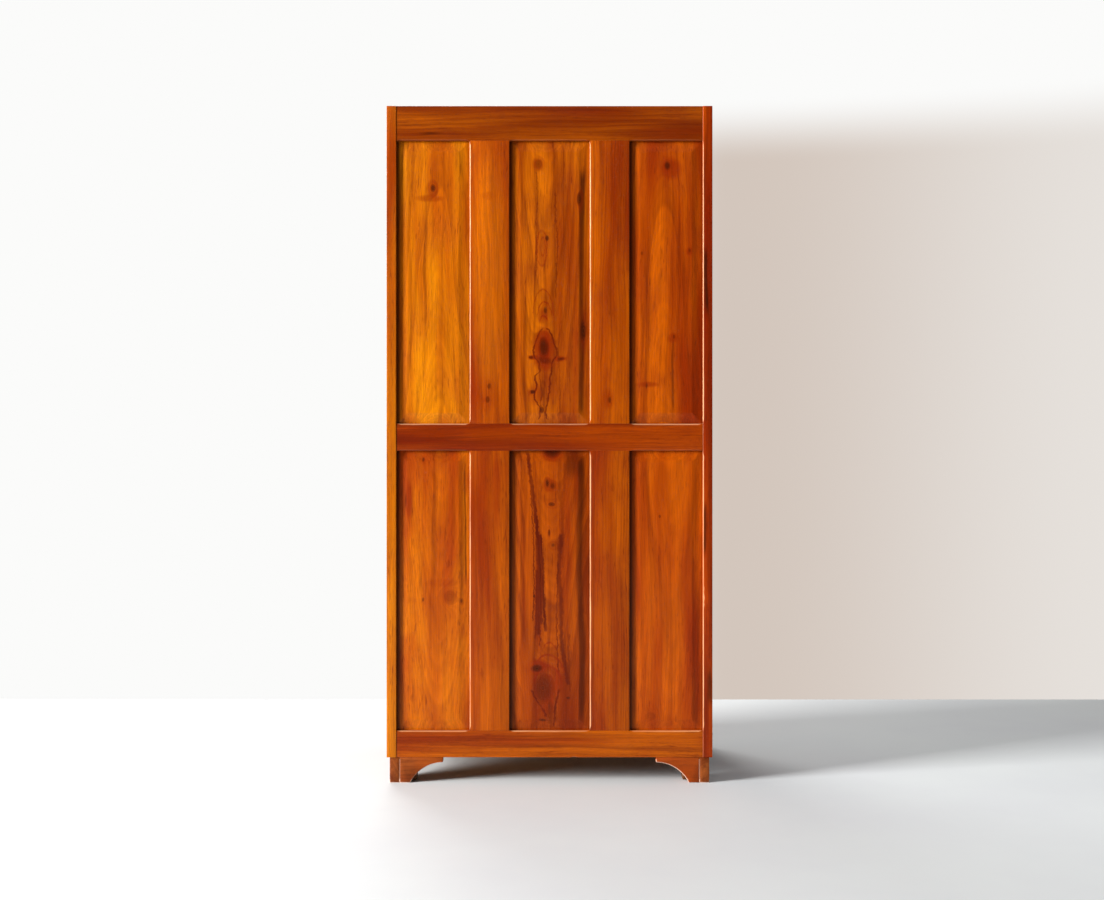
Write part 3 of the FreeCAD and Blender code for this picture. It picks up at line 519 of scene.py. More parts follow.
def teak(name, **changes):
    # ring field r = sqrt(u^2 + v^2) - taper * along, with each knot adding rings / (1 + d^2)^1.5, where
    # u and v are the distances to the pith and d the distance to the knot in its own half sizes
    cut = {**teakDefaults, **changes}
    for kind, count in markLengths.items():
        cut[kind] = [inMetres(mark[:count]) + list(mark[count:]) for mark in cut.get(kind, [])]
    pithAcross, pithBehind, ring, depth = inMetres([*cut["pith"], cut["ring"], cut["depth"]])
    maker = Finish(name)
    axes = maker.place()
    along, across, through = (axes[number] for number in cut["axes"])
    shift = maker.attribute("board") * 1.37 + cut["seed"]
    slow = maker.noise(maker.vector(across * 9, through * 9 + shift, along * 2.2), 2.0, 0.5, "Color")
    slowParts = maker.node("ShaderNodeSeparateXYZ", {}, [slow])
    quick = maker.noise(maker.vector(across * 70, through * 70 + shift, along * 14), 2.0)
    warp = cut["warp"]
    bentAcross = across + (slowParts - 0.5) * (0.034 * warp) + (quick - 0.5) * (0.0045 * warp)
    bentAlong = along + (slowParts.other("Y") - 0.5) * (0.10 * warp)
    nearAcross = across + (quick - 0.5) * 0.007  # knots keep their place and only their outline wanders
    nearAlong = along + (slowParts.other("Z") - 0.5) * 0.02
    u = bentAcross - pithAcross
    v = through * 0.6 + pithBehind
    field = (u * u + v * v) ** 0.5 - bentAlong * cut["taper"]
    heart, halo = None, None
    for *place, rings, dark in cut["knots"]:
        square = oval(nearAcross, nearAlong, *place)
        field = field + (square + 1.0) ** -1.5 * (rings * ring)
        core = maker.fade(square, 1.5, 0.0, 0.0, dark)
        glow = maker.fade(square, 7.0, 0.6, 0.0, dark * 0.55)
        heart = core if heart is None else heart.maths("MAXIMUM", core)
        halo = glow if halo is None else halo.maths("MAXIMUM", glow)
    count = field / ring
    part = count.maths("FRACT")
    year = maker.node("ShaderNodeTexWhiteNoise", {"noise_dimensions": "1D"},
                      {"W": count.maths("FLOOR") + shift.maths("FLOOR")})
    late = maker.fade(part, 0.0, 0.12) * maker.fade(part, 0.9, 0.14) * (year * 0.85 + 0.15)
    finer = (count * 4.3).maths("FRACT")
    lateFiner = maker.fade(finer, 0.0, 0.3) * maker.fade(finer, 1.0, 0.35)
    streak = maker.noise(maker.vector(bentAcross * 62, through * 62 + shift, along * 1.3), 3.0, 0.6)
    wide = maker.noise(maker.vector(bentAcross * 15, through * 15 + shift * 1.7, along * 1.5), 2.0, 0.5)
    blotch = maker.noise(maker.vector(across * 11, through * 11 + shift * 2.3, along * 6), 4.0, 0.6)
    fleck = maker.noise(maker.vector(bentAcross * 380, through * 380 + shift, along * 6), 4.0, 0.7)
    fibre = maker.noise(maker.vector(across * 900, through * 900 + shift, along * 26), 2.0, 0.6)
    poreNoise = maker.noise(maker.vector(across * 1500, through * 1500 + shift, along * 120), 1.0)
    pore = maker.fade(poreNoise, 0.62, 0.74)
    stroke = maker.noise(maker.vector(bentAcross * 270, through * 270 + shift, along * 24), 2.0, 0.6)
    dash = maker.fade(stroke, 0.57, 0.70) * maker.fade(blotch, 0.35, 0.6, 0.25, 1.0)
    colour = maker.mix(maker.fade(wide, 0.3, 0.72), cut["light"], cut["deep"])
    colour = maker.mix(maker.fade(blotch, 0.42, 0.75, 0.0, cut["blotches"]), colour, cut["deep"])
    colour = maker.mix(maker.fade(streak, 0.50, 0.72, 0.0, cut["streaks"]), colour, cut["late"])
    colour = maker.mix(late * cut["lines"], colour, cut["late"])
    colour = maker.mix(lateFiner * (cut["lines"] * 0.3), colour, cut["late"])
    colour = maker.mix(dash * cut["dashes"], colour, cut["late"])
    for x, start, end, half, dark in cut["bands"]:
        reach = (bentAcross - x) / half
        ends = maker.fade(along, start, start + 0.05) * maker.fade(along, end, end - 0.05)
        band = maker.fade(reach * reach, 1.0, 0.0, 0.0, dark) * ends * (streak * 1.4 + 0.3)
        colour = maker.mix(band, colour, cut["heart"])
    for x, z, halfWide, halfHigh, dark, *other in cut["stains"]:
        square = oval(nearAcross, nearAlong, x, z, halfWide, halfHigh)
        mask = maker.fade(square, 1.6, 0.1, 0.0, dark) * (fleck * 0.9 + 0.5)
        colour = maker.mix(mask.maths("MINIMUM", 1.0), colour, other[0] if other else cut["stain"])
    broken = streak * 0.9 + quick * 0.9 - 0.05  # lines come and go along their length
    jag = maker.noise(maker.vector(across * 90, through * 90 + shift, along * 90), 2.0, 0.6)
    jag = (jag - 0.5) * 0.011
    nearAcross = nearAcross + jag
    for trace in cut["traces"]:
        mask = traceMask(maker, across + jag, along, *trace)
        colour = maker.mix((mask * broken).maths("MINIMUM", 1.0), colour, cut["mark"])
    for loop in cut["loops"]:
        mask = loopMask(maker, nearAcross, nearAlong, *loop)
        colour = maker.mix((mask * broken).maths("MINIMUM", 1.0), colour, cut["stain"])
    # panel edges made darker: painted shadow of the frame, with old polish gone dark in the corner
    for x, half, dark in cut["shadowAndPolish"]:
        mask = maker.fade((across - x).maths("ABSOLUTE"), half, half * 0.35, 0.0, dark)
        colour = maker.mix(mask, colour, cut["heart"])
    if heart is not None:
        ringed = (halo * (late * 0.9 + 0.35)).maths("MINIMUM", 1.0)
        colour = maker.mix(ringed, colour, cut["stain"])
        colour = maker.mix(heart * (lateFiner * 0.5 + 0.6), colour, cut["heart"])
    for *place, gain in cut["glow"]:
        colour = maker.shaded(colour, (oval(across, along, *place) + 1.0) ** -1.0 * gain + 1.0)
    fine = fibre * 0.30 + fleck * cut["flecks"] + (0.85 - cut["flecks"] / 2) - pore * 0.22
    colour = maker.shaded(colour, fine)
    wearAndHighlightShare = maker.fade(blotch + fibre * 0.25, 0.35, 0.8, 0.35, 1.0)
    wearAndHighlightAmount = wearAndHighlightShare * cut["wearAndHighlightAmount"]
    for *place, more in cut["rubs"]:
        wearAndHighlightAmount = wearAndHighlightAmount + maker.fade(oval(across, along, *place), 1.2, 0.6, 0.0, more)
    # arrises painted pale: finish rubbed off, with a painted highlight on arrises turned to the light
    worn = (maker.attribute("worn") * wearAndHighlightAmount).maths("MINIMUM", 1.0)
    colour = maker.mix(worn, colour, cut["pale"])
    rough = maker.fade(blotch, 0.3, 0.75, cut["gloss"], cut["gloss"] + 0.14) + pore * 0.12 + worn * 0.08
    height = fibre * 0.22 - late * 0.25 - pore * 0.9 + streak * 0.3
    return maker.surface(colour, rough, height, depth, Specular_IOR_Level=cut["specular"],
                         Specular_Tint=cut["sheen"], Coat_Weight=0.06, Coat_Roughness=0.14)


def brass(name, bright=tone(196, 150, 70), dull=tone(112, 76, 34)):
    # old brass: brown tarnish in clouds, worn bright on raised parts, fine rubbing marks
    maker = Finish(name)
    x, y, z = maker.place()
    cloud = maker.noise(maker.vector(x * 70, y * 70, z * 70), 4.0, 0.6)
    speck = maker.noise(maker.vector(x * 600, y * 600, z * 600), 3.0, 0.6)
    rub = maker.noise(maker.vector(x * 2200, y * 2200, z * 130), 1.0)
    tarnish = maker.fade(cloud + speck * 0.3, 0.45, 0.85)
    worn = maker.attribute("worn")
    colour = maker.mix(tarnish * (1 - worn * 0.7), bright, dull)
    colour = maker.shaded(colour, speck * 0.3 + 0.85)
    rough = tarnish * 0.24 + rub * 0.10 + 0.20
    return maker.surface(colour, rough, rub * 0.4 + speck * 0.5, 0.00008, Metallic=1.0)


def steel(name):
    # drawn steel gone grey-brown, with a few specks of rust
    maker = Finish(name)
    x, y, z = maker.place()
    cloud = maker.noise(maker.vector(x * 90, y * 90, z * 90), 4.0, 0.6)
    speck = maker.noise(maker.vector(x * 700, y * 700, z * 700), 3.0, 0.6)
    rust = maker.fade(cloud * 0.6 + speck * 0.5, 0.60, 0.72)
    colour = maker.mix(maker.fade(cloud, 0.3, 0.7), tone(150, 146, 138), tone(96, 90, 82))
    colour = maker.mix(rust * 0.8, colour, tone(96, 50, 26))
    metal = 1 - rust * 0.8
    maker.tree.links.new(metal.socket, maker.shader.inputs["Metallic"])
    return maker.surface(colour, rust * 0.3 + cloud * 0.2 + 0.26, speck * 0.6 + cloud * 0.3, 0.0001)


print("materials ready")


# the back: two posts, three rails, four muntins and six fielded panels
backSizes = {
    "openArris": 0.0042,  # worn round arris inside a panel opening
    "crispArris": 0.0012,  # the arris on the other side of a post or muntin
    "quietArris": 0.00015,  # rails and muntins are planed flush with each other
    "outerArris": 0.0013,
}

lowPost, highPost = corners("back_right_post")
lowTop, highTop = corners("back_top_rail")
lowMiddle, highMiddle = corners("back_middle_rail")
lowBottom, highBottom = corners("back_bottom_rail")
tongue = joinery["tongue"]
railBack, railFace = lowTop[axisY], highTop[axisY]
postInner = lowPost[axisX]
lowerOpening = (highBottom[axisZ], lowMiddle[axisZ])
upperOpening = (highMiddle[axisZ], lowTop[axisZ])
sideRailFace = corners("side_top_rails")[1][axisX]
middleEdge = corners("back_upper_middle_panel")[1][axisX] - tongue
outerEdge = corners("back_upper_right_panel")[0][axisX] + tongue
sidePanelLow, sidePanelHigh = corners("side_upper_panels")
sideEdges = (sidePanelLow[axisY] + tongue, sidePanelHigh[axisY] - tongue)
panelGroove = (joinery["grooveStart"], joinery["grooveEnd"], joinery["grooveDepth"])


def deeper(groove, more):
    return groove[0] + more, groove[1] + more, groove[2]


def openArrises(kind, spans, size, chips=()):
    return {kind: [(start, end, size) for start, end in spans], kind + "Chips": list(chips)}


bothOpenings = [lowerOpening, upperOpening]
acrossOpenings = [(-postInner, -outerEdge), (-middleEdge, middleEdge), (outerEdge, postInner)]
sideGroove = (sideRailFace - joinery["grooveEnd"] - postInner,
              sideRailFace - joinery["grooveStart"] - postInner, joinery["grooveDepth"])


def backPost(chips, seed, wearAndHighlightShare, size):
    # the post on the +X side; the other is this one turned over
    # the open arris's pale share is passed in: high where it faces the window, as wear with a painted
    # highlight
    arris = {**openArrises("faceLow", bothOpenings, size, chips),
             **openArrises("backHigh", bothOpenings, backSizes["openArris"] * 0.7),
             "wearAndHighlightShare": {"faceLow": wearAndHighlightShare, "faceHigh": 0.35, "backHigh": 0.4}}
    grooves = {"low": deeper(panelGroove, joinery["inset"]), "back": sideGroove}
    return board(lowPost, highPost, axisZ, axisY, 1, grooves, arris, backSizes["outerArris"], seed)


def addFrame(node, shapes, finish, body="carcass", sharp=30):
    points, faces, values = gather(shapes)
    return makePiece(node, points, faces, values, body, finish, sharp)


addFrame("back_right_post", [backPost([], 3, 0.1, backSizes["crispArris"])],
         teak("teakBackPostA", light=tone(201, 112, 5), deep=tone(152, 57, 2), pith=(500, 20),
              taper=0.004, lines=0.35, streaks=0.3, seed=1.0))
postChips = [(0.52, 0.009, 0.0035), (0.50, 0.005, 0.0025), (0.545, 0.006, 0.002)]
addFrame("back_left_post", [flipped(backPost(postChips, 8, 0.75, backSizes["openArris"] * 0.8))],
         teak("teakBackPostB", light=tone(191, 73, 1), deep=tone(126, 27, 0), pith=(-500, 20),
              taper=0.004, lines=0.4, streaks=0.45, blotches=0.8, seed=2.0,
              bands=[(-444, 1300, 1520, 7, 0.8), (-440, 620, 800, 6, 0.7), (-447, 200, 340, 8, 0.7)]))


def backRail(low, high, kinds, seed, more=None):
    # the upper arris is painted paler than the lower one: wear with a painted highlight where light falls
    # from above
    arris = {"faceLow": [(-1, 1, backSizes["outerArris"])], "faceHigh": [(-1, 1, backSizes["outerArris"])],
             "wearAndHighlightShare": {"faceLow": 0.1, "faceHigh": 0.7}}
    grooves = {}
    for kind in kinds:
        arris.update(openArrises("face" + kind, acrossOpenings, backSizes["openArris"]))
        grooves[kind.lower()] = panelGroove
    arris.update(more or {})
    low, high = low.copy(), high.copy()
    low[axisX], high[axisX] = -postInner, postInner
    return board(low, high, axisX, axisY, 1, grooves, arris, backSizes["quietArris"], seed)


railAxes = (axisX, axisZ, axisY)
addFrame("back_top_rail", [backRail(lowTop, highTop, ["Low"], 11)],
         teak("teakTopRail", axes=railAxes, light=tone(163, 76, 2), deep=tone(112, 32, 1), pith=(1970, 40),
              taper=0.01, lines=0.5, streaks=0.55, seed=3.0, bands=[(1820, 290, 380, 6, 0.5)]))
addFrame("back_middle_rail", [backRail(lowMiddle, highMiddle, ["Low", "High"], 12)],
         teak("teakMiddleRail", axes=railAxes, light=tone(163, 63, 1), deep=tone(111, 23, 0), pith=(1100, 50),
              taper=0.008, lines=0.4, streaks=0.4, seed=4.0))
addFrame("back_bottom_rail", [backRail(lowBottom, highBottom, ["High"], 13,
                                       {"faceLowChips": [(-0.069, 0.006, 0.004)]})],
         teak("teakBottomRail", axes=railAxes, light=tone(186, 88, 3), deep=tone(135, 40, 1), pith=(20, 50),
              taper=0.01, lines=0.45, streaks=0.45, seed=5.0))


def muntin(low, opening, seed):
    # the arris facing the window is painted paler than the other: wear with a painted highlight
    arris = {**openArrises("faceLow", [opening], backSizes["crispArris"]),
             **openArrises("faceHigh", [opening], backSizes["openArris"]),
             "wearAndHighlightShare": {"faceLow": 0.1, "faceHigh": 0.72}}
    first = np.array([low, railBack, opening[0]])
    last = np.array([low + outerEdge - middleEdge, railFace, opening[1]])
    return board(first, last, axisZ, axisY, 1, {"low": panelGroove, "high": panelGroove}, arris,
                 backSizes["quietArris"], seed)


muntinPlaces = [(start, opening) for start in (middleEdge, -outerEdge)
                for opening in (upperOpening, lowerOpening)]
addFrame("back_muntins", [muntin(*place, 20 + number) for number, place in enumerate(muntinPlaces)],
         teak("teakMuntins", light=tone(184, 84, 0), deep=tone(130, 37, 0), pith=(100, 70), taper=0.012,
              ring=6, lines=0.4, streaks=0.42, seed=6.0,
              knots=[(170, 1111, 6, 9, 1.5, 0.7), (173, 1075, 7, 10, 1.5, 0.7),
                     (-168, 1075, 5, 10, 2.0, 0.75)],
              stains=[(170, 1645, 22, 12, 0.6), (176, 1090, 30, 50, 0.45), (150, 830, 12, 100, 0.5),
                      (-165, 1080, 18, 30, 0.35), (170, 1420, 50, 340, 0.22, tone(222, 130, 6))],
              glow=[(170, 1520, 60, 400, 0.26)]))

panelMake = {
    "reveal": 0.0005, "bevel": 0.028, "rise": 0.0045, "hollow": 0.25, "quirk": 0.0003, "bow": 0.00018,
}


def backPanel(edges, opening, seed):
    low = np.array([edges[0], railBack, opening[0]])
    high = np.array([edges[1], railFace, opening[1]])
    return panel(low, high, axisX, axisZ, axisY, 1, panelMake, seed)


middleSpan = (-middleEdge, middleEdge)
rightSpan = (outerEdge, postInner)
leftSpan = (-postInner, -outerEdge)

panelLooks = {
    "back_upper_right_panel": dict(
        span=rightSpan, opening=upperOpening, light=tone(224, 133, 3), deep=tone(178, 78, 1), pith=(318, 90),
        taper=-0.022, ring=4.5, lines=0.34, streaks=0.4, blotches=0.5, seed=7.0,
        knots=[(327, 1673, 7, 11, 2.6, 0.85)],
        stains=[(338, 1644, 40, 10, 0.5), (330, 1672, 16, 24, 0.45)],
        bands=[(352, 1250, 1600, 6, 0.35), (392, 1120, 1500, 4, 0.3)]),
    "back_upper_middle_panel": dict(
        span=middleSpan, opening=upperOpening, light=tone(200, 101, 2), deep=tone(134, 40, 0), pith=(12, 50),
        stains=[(16, 1222, 30, 52, 0.95), (16, 1180, 28, 24, 0.75), (14, 1110, 18, 60, 0.4),
                (46, 1192, 16, 8, 0.8), (-28, 1192, 18, 8, 0.8), (40, 1088, 22, 30, 0.45),
                (20, 1310, 14, 22, 0.6), (20, 1500, 16, 45, 0.35), (30, 1738, 16, 20, 0.5)],
        taper=0.03, ring=7.5, lines=0.45, streaks=0.6, blotches=0.5, seed=8.0,
        knots=[(16, 1222, 14, 28, 4.0, 0.95), (14, 1186, 20, 11, 0.8, 0.6), (12, 1326, 5, 11, 1.0, 0.8),
               (52, 1192, 8, 5, 0.8, 0.7), (-32, 1192, 10, 5, 0.8, 0.7), (48, 1095, 7, 6, 0.6, 0.9),
               (22, 1045, 7, 11, 1.0, 0.75), (31, 1738, 9, 12, 1.4, 0.5), (7, 1529, 5, 9, 1.0, 0.85),
               (-83, 1640, 6, 18, 1.0, 0.85), (-93, 1270, 9, 30, 1.0, 0.9), (16, 1100, 14, 50, 0.6, 0.3)],
        traces=[(1017, 1280, [38, 27, 34, 43, 36, 41, 28, 34, 46, 41, 32, 17], 2.4, 0.95),
                (1017, 1280, [-4, 10, 6, 2, 0, -2, -5, -9, -22, -12, -6, 16], 2.4, 0.95),
                (1030, 1170, [20, 26, 21, 27, 20], 1.6, 0.7),
                (1360, 1660, [-18, -20, -22, -18, -16], 1.8, 0.6),
                (1420, 1720, [40, 36, 38, 34, 37], 1.6, 0.55), (1020, 1300, [-24, -30, -26, -34], 1.6, 0.4)],
        loops=[(21, 1500, 15, 50, 1400, 0.30, 0.7), (19, 1505, 7, 26, 1400, 0.5, 0.6),
               (16, 1280, 13, 30, 1285, 0.35, 0.9), (14, 1290, 22, 60, 1300, 0.18, 0.8),
               (18, 1300, 30, 85, 1300, 0.12, 0.7)],
        # the band at -92 is painted shade along the bevel that faces away from the window
        bands=[(-92, 1010, 1740, 10, 0.7)]),
    "back_upper_left_panel": dict(
        span=leftSpan, opening=upperOpening, light=tone(194, 87, 1), deep=tone(139, 40, 0), pith=(-324, 80),
        taper=-0.020, ring=4.8, lines=0.36, streaks=0.42, blotches=0.5, seed=9.0,
        stains=[(-342, 1725, 30, 30, 0.7), (-346, 1248, 16, 14, 0.5), (-276, 1118, 30, 8, 0.6),
                (-393, 1490, 10, 12, 0.6), (-400, 1600, 14, 160, 0.3)],
        knots=[(-331, 1732, 9, 12, 2.6, 0.95), (-394, 1493, 4, 6, 0.8, 0.6), (-260, 1487, 4, 6, 0.8, 0.6),
               (-349, 1251, 4, 6, 0.8, 0.6), (-274, 1114, 4, 8, 0.8, 0.6)],
        bands=[(-350, 1020, 1280, 4, 0.4)]),
    "back_lower_right_panel": dict(
        span=rightSpan, opening=lowerOpening, light=tone(210, 109, 3), deep=tone(159, 53, 1), pith=(310, 90),
        taper=0.03, ring=8, lines=0.42, streaks=0.42, blotches=0.7, seed=10.0,
        stains=[(395, 790, 10, 60, 0.7), (282, 522, 22, 24, 0.4), (300, 560, 50, 12, 0.3)],
        knots=[(355, 909, 4, 7, 1.4, 0.8), (282, 519, 16, 20, 3.0, 0.3), (248, 510, 4, 6, 1.0, 0.75),
               (355, 516, 4, 7, 1.0, 0.7)],
        bands=[(402.5, 750, 830, 4, 0.7), (240, 540, 915, 3, 0.6), (365, 530, 600, 4, 0.6)]),
    "back_lower_middle_panel": dict(
        span=middleSpan, opening=lowerOpening, light=tone(176, 76, 0), deep=tone(122, 34, 0), pith=(-4, 35),
        taper=0.06, ring=8.5, lines=0.55, streaks=0.65, blotches=0.4, warp=1.1, seed=11.0,
        stains=[(31, 320, 32, 22, 0.95), (12, 262, 40, 40, 0.75), (6, 214, 20, 34, 0.6),
                (-30, 300, 16, 50, 0.4), (-6, 922, 30, 20, 0.8), (0, 836, 18, 20, 0.5),
                (54, 640, 16, 300, 0.7, tone(184, 80, 0)), (64, 260, 18, 140, 0.5, tone(176, 72, 0)),
                (-45, 620, 20, 220, 0.5), (30, 500, 12, 140, 0.5)],
        knots=[(18, 262, 30, 44, 4.0, 0.62), (36, 316, 18, 11, 1.5, 0.95), (-7, 930, 24, 18, 2.5, 0.9),
               (6, 840, 5, 12, 1.5, 0.9), (-9, 833, 8, 10, 1.5, 0.7), (-6, 782, 9, 6, 2.0, 0.75),
               (1, 703, 3, 9, 1.2, 0.9), (-10, 668, 7, 7, 1.5, 0.6), (44, 521, 3.5, 5, 0.6, 0.9),
               (-51, 238, 5, 4, 1.0, 0.8), (20, 172, 10, 4, 0.5, 0.8), (0, 195, 12, 35, 1.0, 0.4)],
        traces=[(410, 930, [31, 30, 29, 31, 35.5, 43, 53, 61], 5, 0.95),
                (420, 700, [11, 14, 18, 18.5, 21, 26], 3.4, 1.0),
                (440, 780, [22, 23, 25, 27, 33, 40], 2.6, 0.8), (400, 600, [40, 38, 37, 36], 2.6, 0.8),
                (450, 900, [47, 44, 45, 51, 58], 1.6, 0.8), (380, 750, [28, 26, 26.5, 30, 34], 1.8, 0.9),
                (300, 620, [-26, -22, -20, -22, -24], 2, 0.8),
                (270, 700, [-52, -45, -36.5, -32.5, -33, -30, -26.5, -29, -32], 5.5, 0.9),
                (600, 900, [-36, -36, -37, -40, -43], 4, 0.4), (180, 262, [10, 16, 30, 43, 52], 2.8, 0.95),
                (152, 265, [-12, -13, -14, -18, -22, -28], 2.8, 0.9),
                (250, 420, [-58, -56, -54, -57], 2.2, 0.5)],
        loops=[(5, 250, 42, 75, 262, 0.22, 1.0), (3, 262, 50, 94, 300, 0.12, 0.9),
               (0, 300, 30, 92, 360, 0.12, 0.8), (10, 250, 28, 48, 270, 0.25, 0.9)],
        # the band at -90 is painted shade along the bevel that faces away from the window
        bands=[(-90, 160, 930, 11, 0.6), (-70, 840, 960, 30, 0.5)]),
    "back_lower_left_panel": dict(
        span=leftSpan, opening=lowerOpening, light=tone(198, 88, 2), deep=tone(142, 40, 0), pith=(-340, 120),
        taper=0.02, ring=7, lines=0.3, streaks=0.32, blotches=0.5, seed=12.0,
        knots=[(-310, 752, 4, 6, 0.8, 0.45), (-285, 185, 14, 12, 1.2, 0.3)]),
}
for node, look in panelLooks.items():
    span, opening = look.pop("span"), look.pop("opening")
    # a wide painted shadow on the edge towards the window, and a narrow strip of painted shade with dark old
    # polish on the other edge
    look["shadowAndPolish"] = [(1000 * span[1], 13, 0.8), (1000 * span[0], 4, 0.4)]
    addFrame(node, [backPanel(span, opening, int(look["seed"]))], teak("teak_" + node, **look),
             sharp=20)
print("back made")

# the two sides
sideSizes = {"openArris": 0.0030, "outerArris": 0.0012}
sideInner = sideRailFace - (railFace - railBack)


def sideRail(node, kinds, seed):
    low, high = corners(node)
    low[axisX], high[axisX] = sideInner, sideRailFace
    low[axisY], high[axisY] = sideEdges
    arris, grooves = {}, {}
    for kind in kinds:
        arris.update(openArrises("face" + kind, [sideEdges], sideSizes["openArris"]))
        grooves[kind.lower()] = panelGroove
    shape = board(low, high, axisY, axisX, 1, grooves, arris, sideSizes["outerArris"] * 0.5, seed)
    return [shape, flipped(shape)]


sideAxes = (axisY, axisZ, axisX)
sideRails = {
    "top": (["Low"], 31, dict(light=tone(185, 83, 3), deep=tone(126, 46, 1), pith=(1980, -380), seed=13.0)),
    "middle": (["Low", "High"], 32,
               dict(light=tone(181, 77, 2), deep=tone(125, 41, 1), pith=(1080, -380), seed=14.0)),
    "bottom": (["High"], 33, dict(light=tone(186, 81, 3), deep=tone(132, 46, 1), pith=(30, -380), seed=15.0)),
}
for level, (kinds, seed, look) in sideRails.items():
    node = f"side_{level}_rails"
    addFrame(node, sideRail(node, kinds, seed),
             teak("teakSide" + level.capitalize(), axes=sideAxes, taper=0.01, **look))


def sidePanel(opening, seed):
    low = np.array([sideInner, sideEdges[0], opening[0]])
    high = np.array([sideRailFace, sideEdges[1], opening[1]])
    shape = panel(low, high, axisY, axisZ, axisX, 1, panelMake, seed)
    return [shape, flipped(shape)]


sidePanels = {
    "upper": (upperOpening, 41, dict(
        light=tone(205, 98, 4), deep=tone(145, 56, 1), pith=(30, -200), taper=-0.05, ring=7.5, lines=0.5,
        streaks=0.45, seed=16.0, knots=[(50, 1360, 9, 16, 3.0, 0.85), (-70, 1180, 5, 9, 1.6, 0.7)])),
    "lower": (lowerOpening, 42, dict(
        light=tone(201, 93, 3), deep=tone(141, 52, 1), pith=(-10, -190), taper=0.06, ring=8, lines=0.55,
        streaks=0.5, seed=17.0, knots=[(-30, 420, 10, 18, 3.5, 0.85), (90, 740, 5, 9, 1.6, 0.7)])),
}
for level, (opening, seed, look) in sidePanels.items():
    addFrame(f"side_{level}_panels", sidePanel(opening, seed),
             teak("teakSide" + level.capitalize(), axes=(axisZ, axisY, axisX), **look),
             sharp=20)
print("sides made")

# the two doors and the front posts and rails
doorSizes = {"openArris": 0.0028, "easing": 0.0008}


def keepCopy(node, body, finish, width, shortest, sharp=30, steep=50):
    return finishPiece(easedCopy(node, width, shortest, steep), node, body, finish, sharp)


def doorRail(node, kinds, seed):
    low, high = corners(node)
    side = node.split("_")[0]
    opening = corners(side + "_door_upper_panel")
    low[axisX], high[axisX] = opening[0][axisX] + tongue, opening[1][axisX] - tongue
    span = [(low[axisX], high[axisX])]
    arris, grooves = {}, {}
    for kind in kinds:
        arris.update(openArrises("face" + kind, span, doorSizes["openArris"]))
        grooves[kind.lower()] = panelGroove
    return board(low, high, axisX, axisY, -1, grooves, arris, doorSizes["easing"] * 0.4, seed)


def doorPanel(node, seed):
    low, high = corners(node)
    low, high = low + tongue, high - tongue
    face = corners(node.split("_")[0] + "_door_top_rail")
    low[axisY], high[axisY] = face[0][axisY], face[1][axisY]
    return panel(low, high, axisX, axisZ, axisY, -1, panelMake, seed)


doorRails = {"bottom": (["High"], 100), "middle": (["Low", "High"], 1020), "top": (["Low"], 1850)}
for number, side in enumerate(("left", "right")):
    body = side + "_door"
    sign = -1 if side == "left" else 1
    for order, (level, (kinds, height)) in enumerate(doorRails.items()):
        node = f"{side}_door_{level}_rail"
        addFrame(node, [doorRail(node, kinds, 50 + number * 10 + order)],
                 teak("teak_" + node, axes=railAxes, light=tone(188, 85, 3), deep=tone(132, 47, 1),
                      pith=(height, 300), taper=0.012, seed=20.0 + number * 5 + order), body)
    for order, (level, taper) in enumerate([("lower", 0.06), ("upper", -0.05)]):
        node = f"{side}_door_{level}_panel"
        low, high = 1000 * np.array(corners(node))
        middle, bottom, top = (low[axisX] + high[axisX]) / 2, low[axisZ], high[axisZ]
        knots = [(middle - 30 * sign, bottom + 250 + 200 * order, 10, 17, 3.5, 0.85),
                 (middle + 80 * sign, top - 180, 5, 9, 1.8, 0.75)]
        addFrame(node, [doorPanel(node, 60 + number * 10 + order)],
                 teak("teak_" + node, light=tone(207, 99, 4), deep=tone(146, 57, 1), knots=knots,
                      pith=(middle + 20 * sign, 250), taper=taper, ring=8, lines=0.55, streaks=0.5,
                      seed=30.0 + number * 5 + order),
                 body, 20)
    for order, stile in enumerate(("hinge", "meeting")):
        node = f"{side}_door_{stile}_stile"
        finish = teak("teak_" + node, light=tone(192, 86, 3), deep=tone(135, 49, 1), taper=0.006,
                      pith=(200 * sign, 300), seed=40.0 + number * 5 + order)
        keepCopy(node, body, finish, doorSizes["easing"], 0.02)
    node = f"front_{side}_post"
    finish = teak("teak_" + node, light=tone(186, 83, 3), deep=tone(132, 47, 1), pith=(500 * sign, 300),
                  taper=0.004, seed=50.0 + number)
    keepCopy(node, "carcass", finish, 0.0010, 0.02)
for number, (node, height) in enumerate([("front_bottom_rail", 0), ("front_top_rail", 1980)]):
    finish = teak("teak_" + node, axes=railAxes, light=tone(185, 81, 3), deep=tone(130, 46, 1),
                  pith=(height, 300), taper=0.01, seed=54.0 + number)
    keepCopy(node, "carcass", finish, 0.0008, 0.02)
print("doors and front made")

# feet
footTop = corners("foot_face_brackets")[1][axisZ]
footLooks = dict(light=tone(160, 82, 30), deep=tone(106, 42, 10), late=tone(82, 26, 6),
                 pale=tone(250, 214, 190), gloss=0.42, lines=0.35, streaks=0.5, blotches=1.0, wearAndHighlightAmount=0.7)
unworn = (1000 * footTop, 0, 5.5, 9000, -3.0)  # the top arris is under the rail
keepCopy("foot_face_brackets", "carcass",
         teak("teakFootFaces", axes=railAxes, pith=(200, 100), seed=60.0,
              rubs=[(50, -370, 50, 75, 2.2), (0, 400, 12, 90, 1.6), unworn],
              stains=[(40, -350, 90, 120, 0.8, tone(146, 56, 3)), (50, 330, 30, 50, 0.5, tone(160, 70, 10))],
              glow=[(30, 400, 200, 140, 0.35)], **footLooks),
         0.0018, 0.003)
keepCopy("foot_side_brackets", "carcass",
         teak("teakFootSides", axes=sideAxes, pith=(200, 100), seed=61.0,
              rubs=[(0, -250, 10, 60, 1.6), (0, 250, 10, 60, 1.6), unworn], **footLooks),
         0.0018, 0.003)

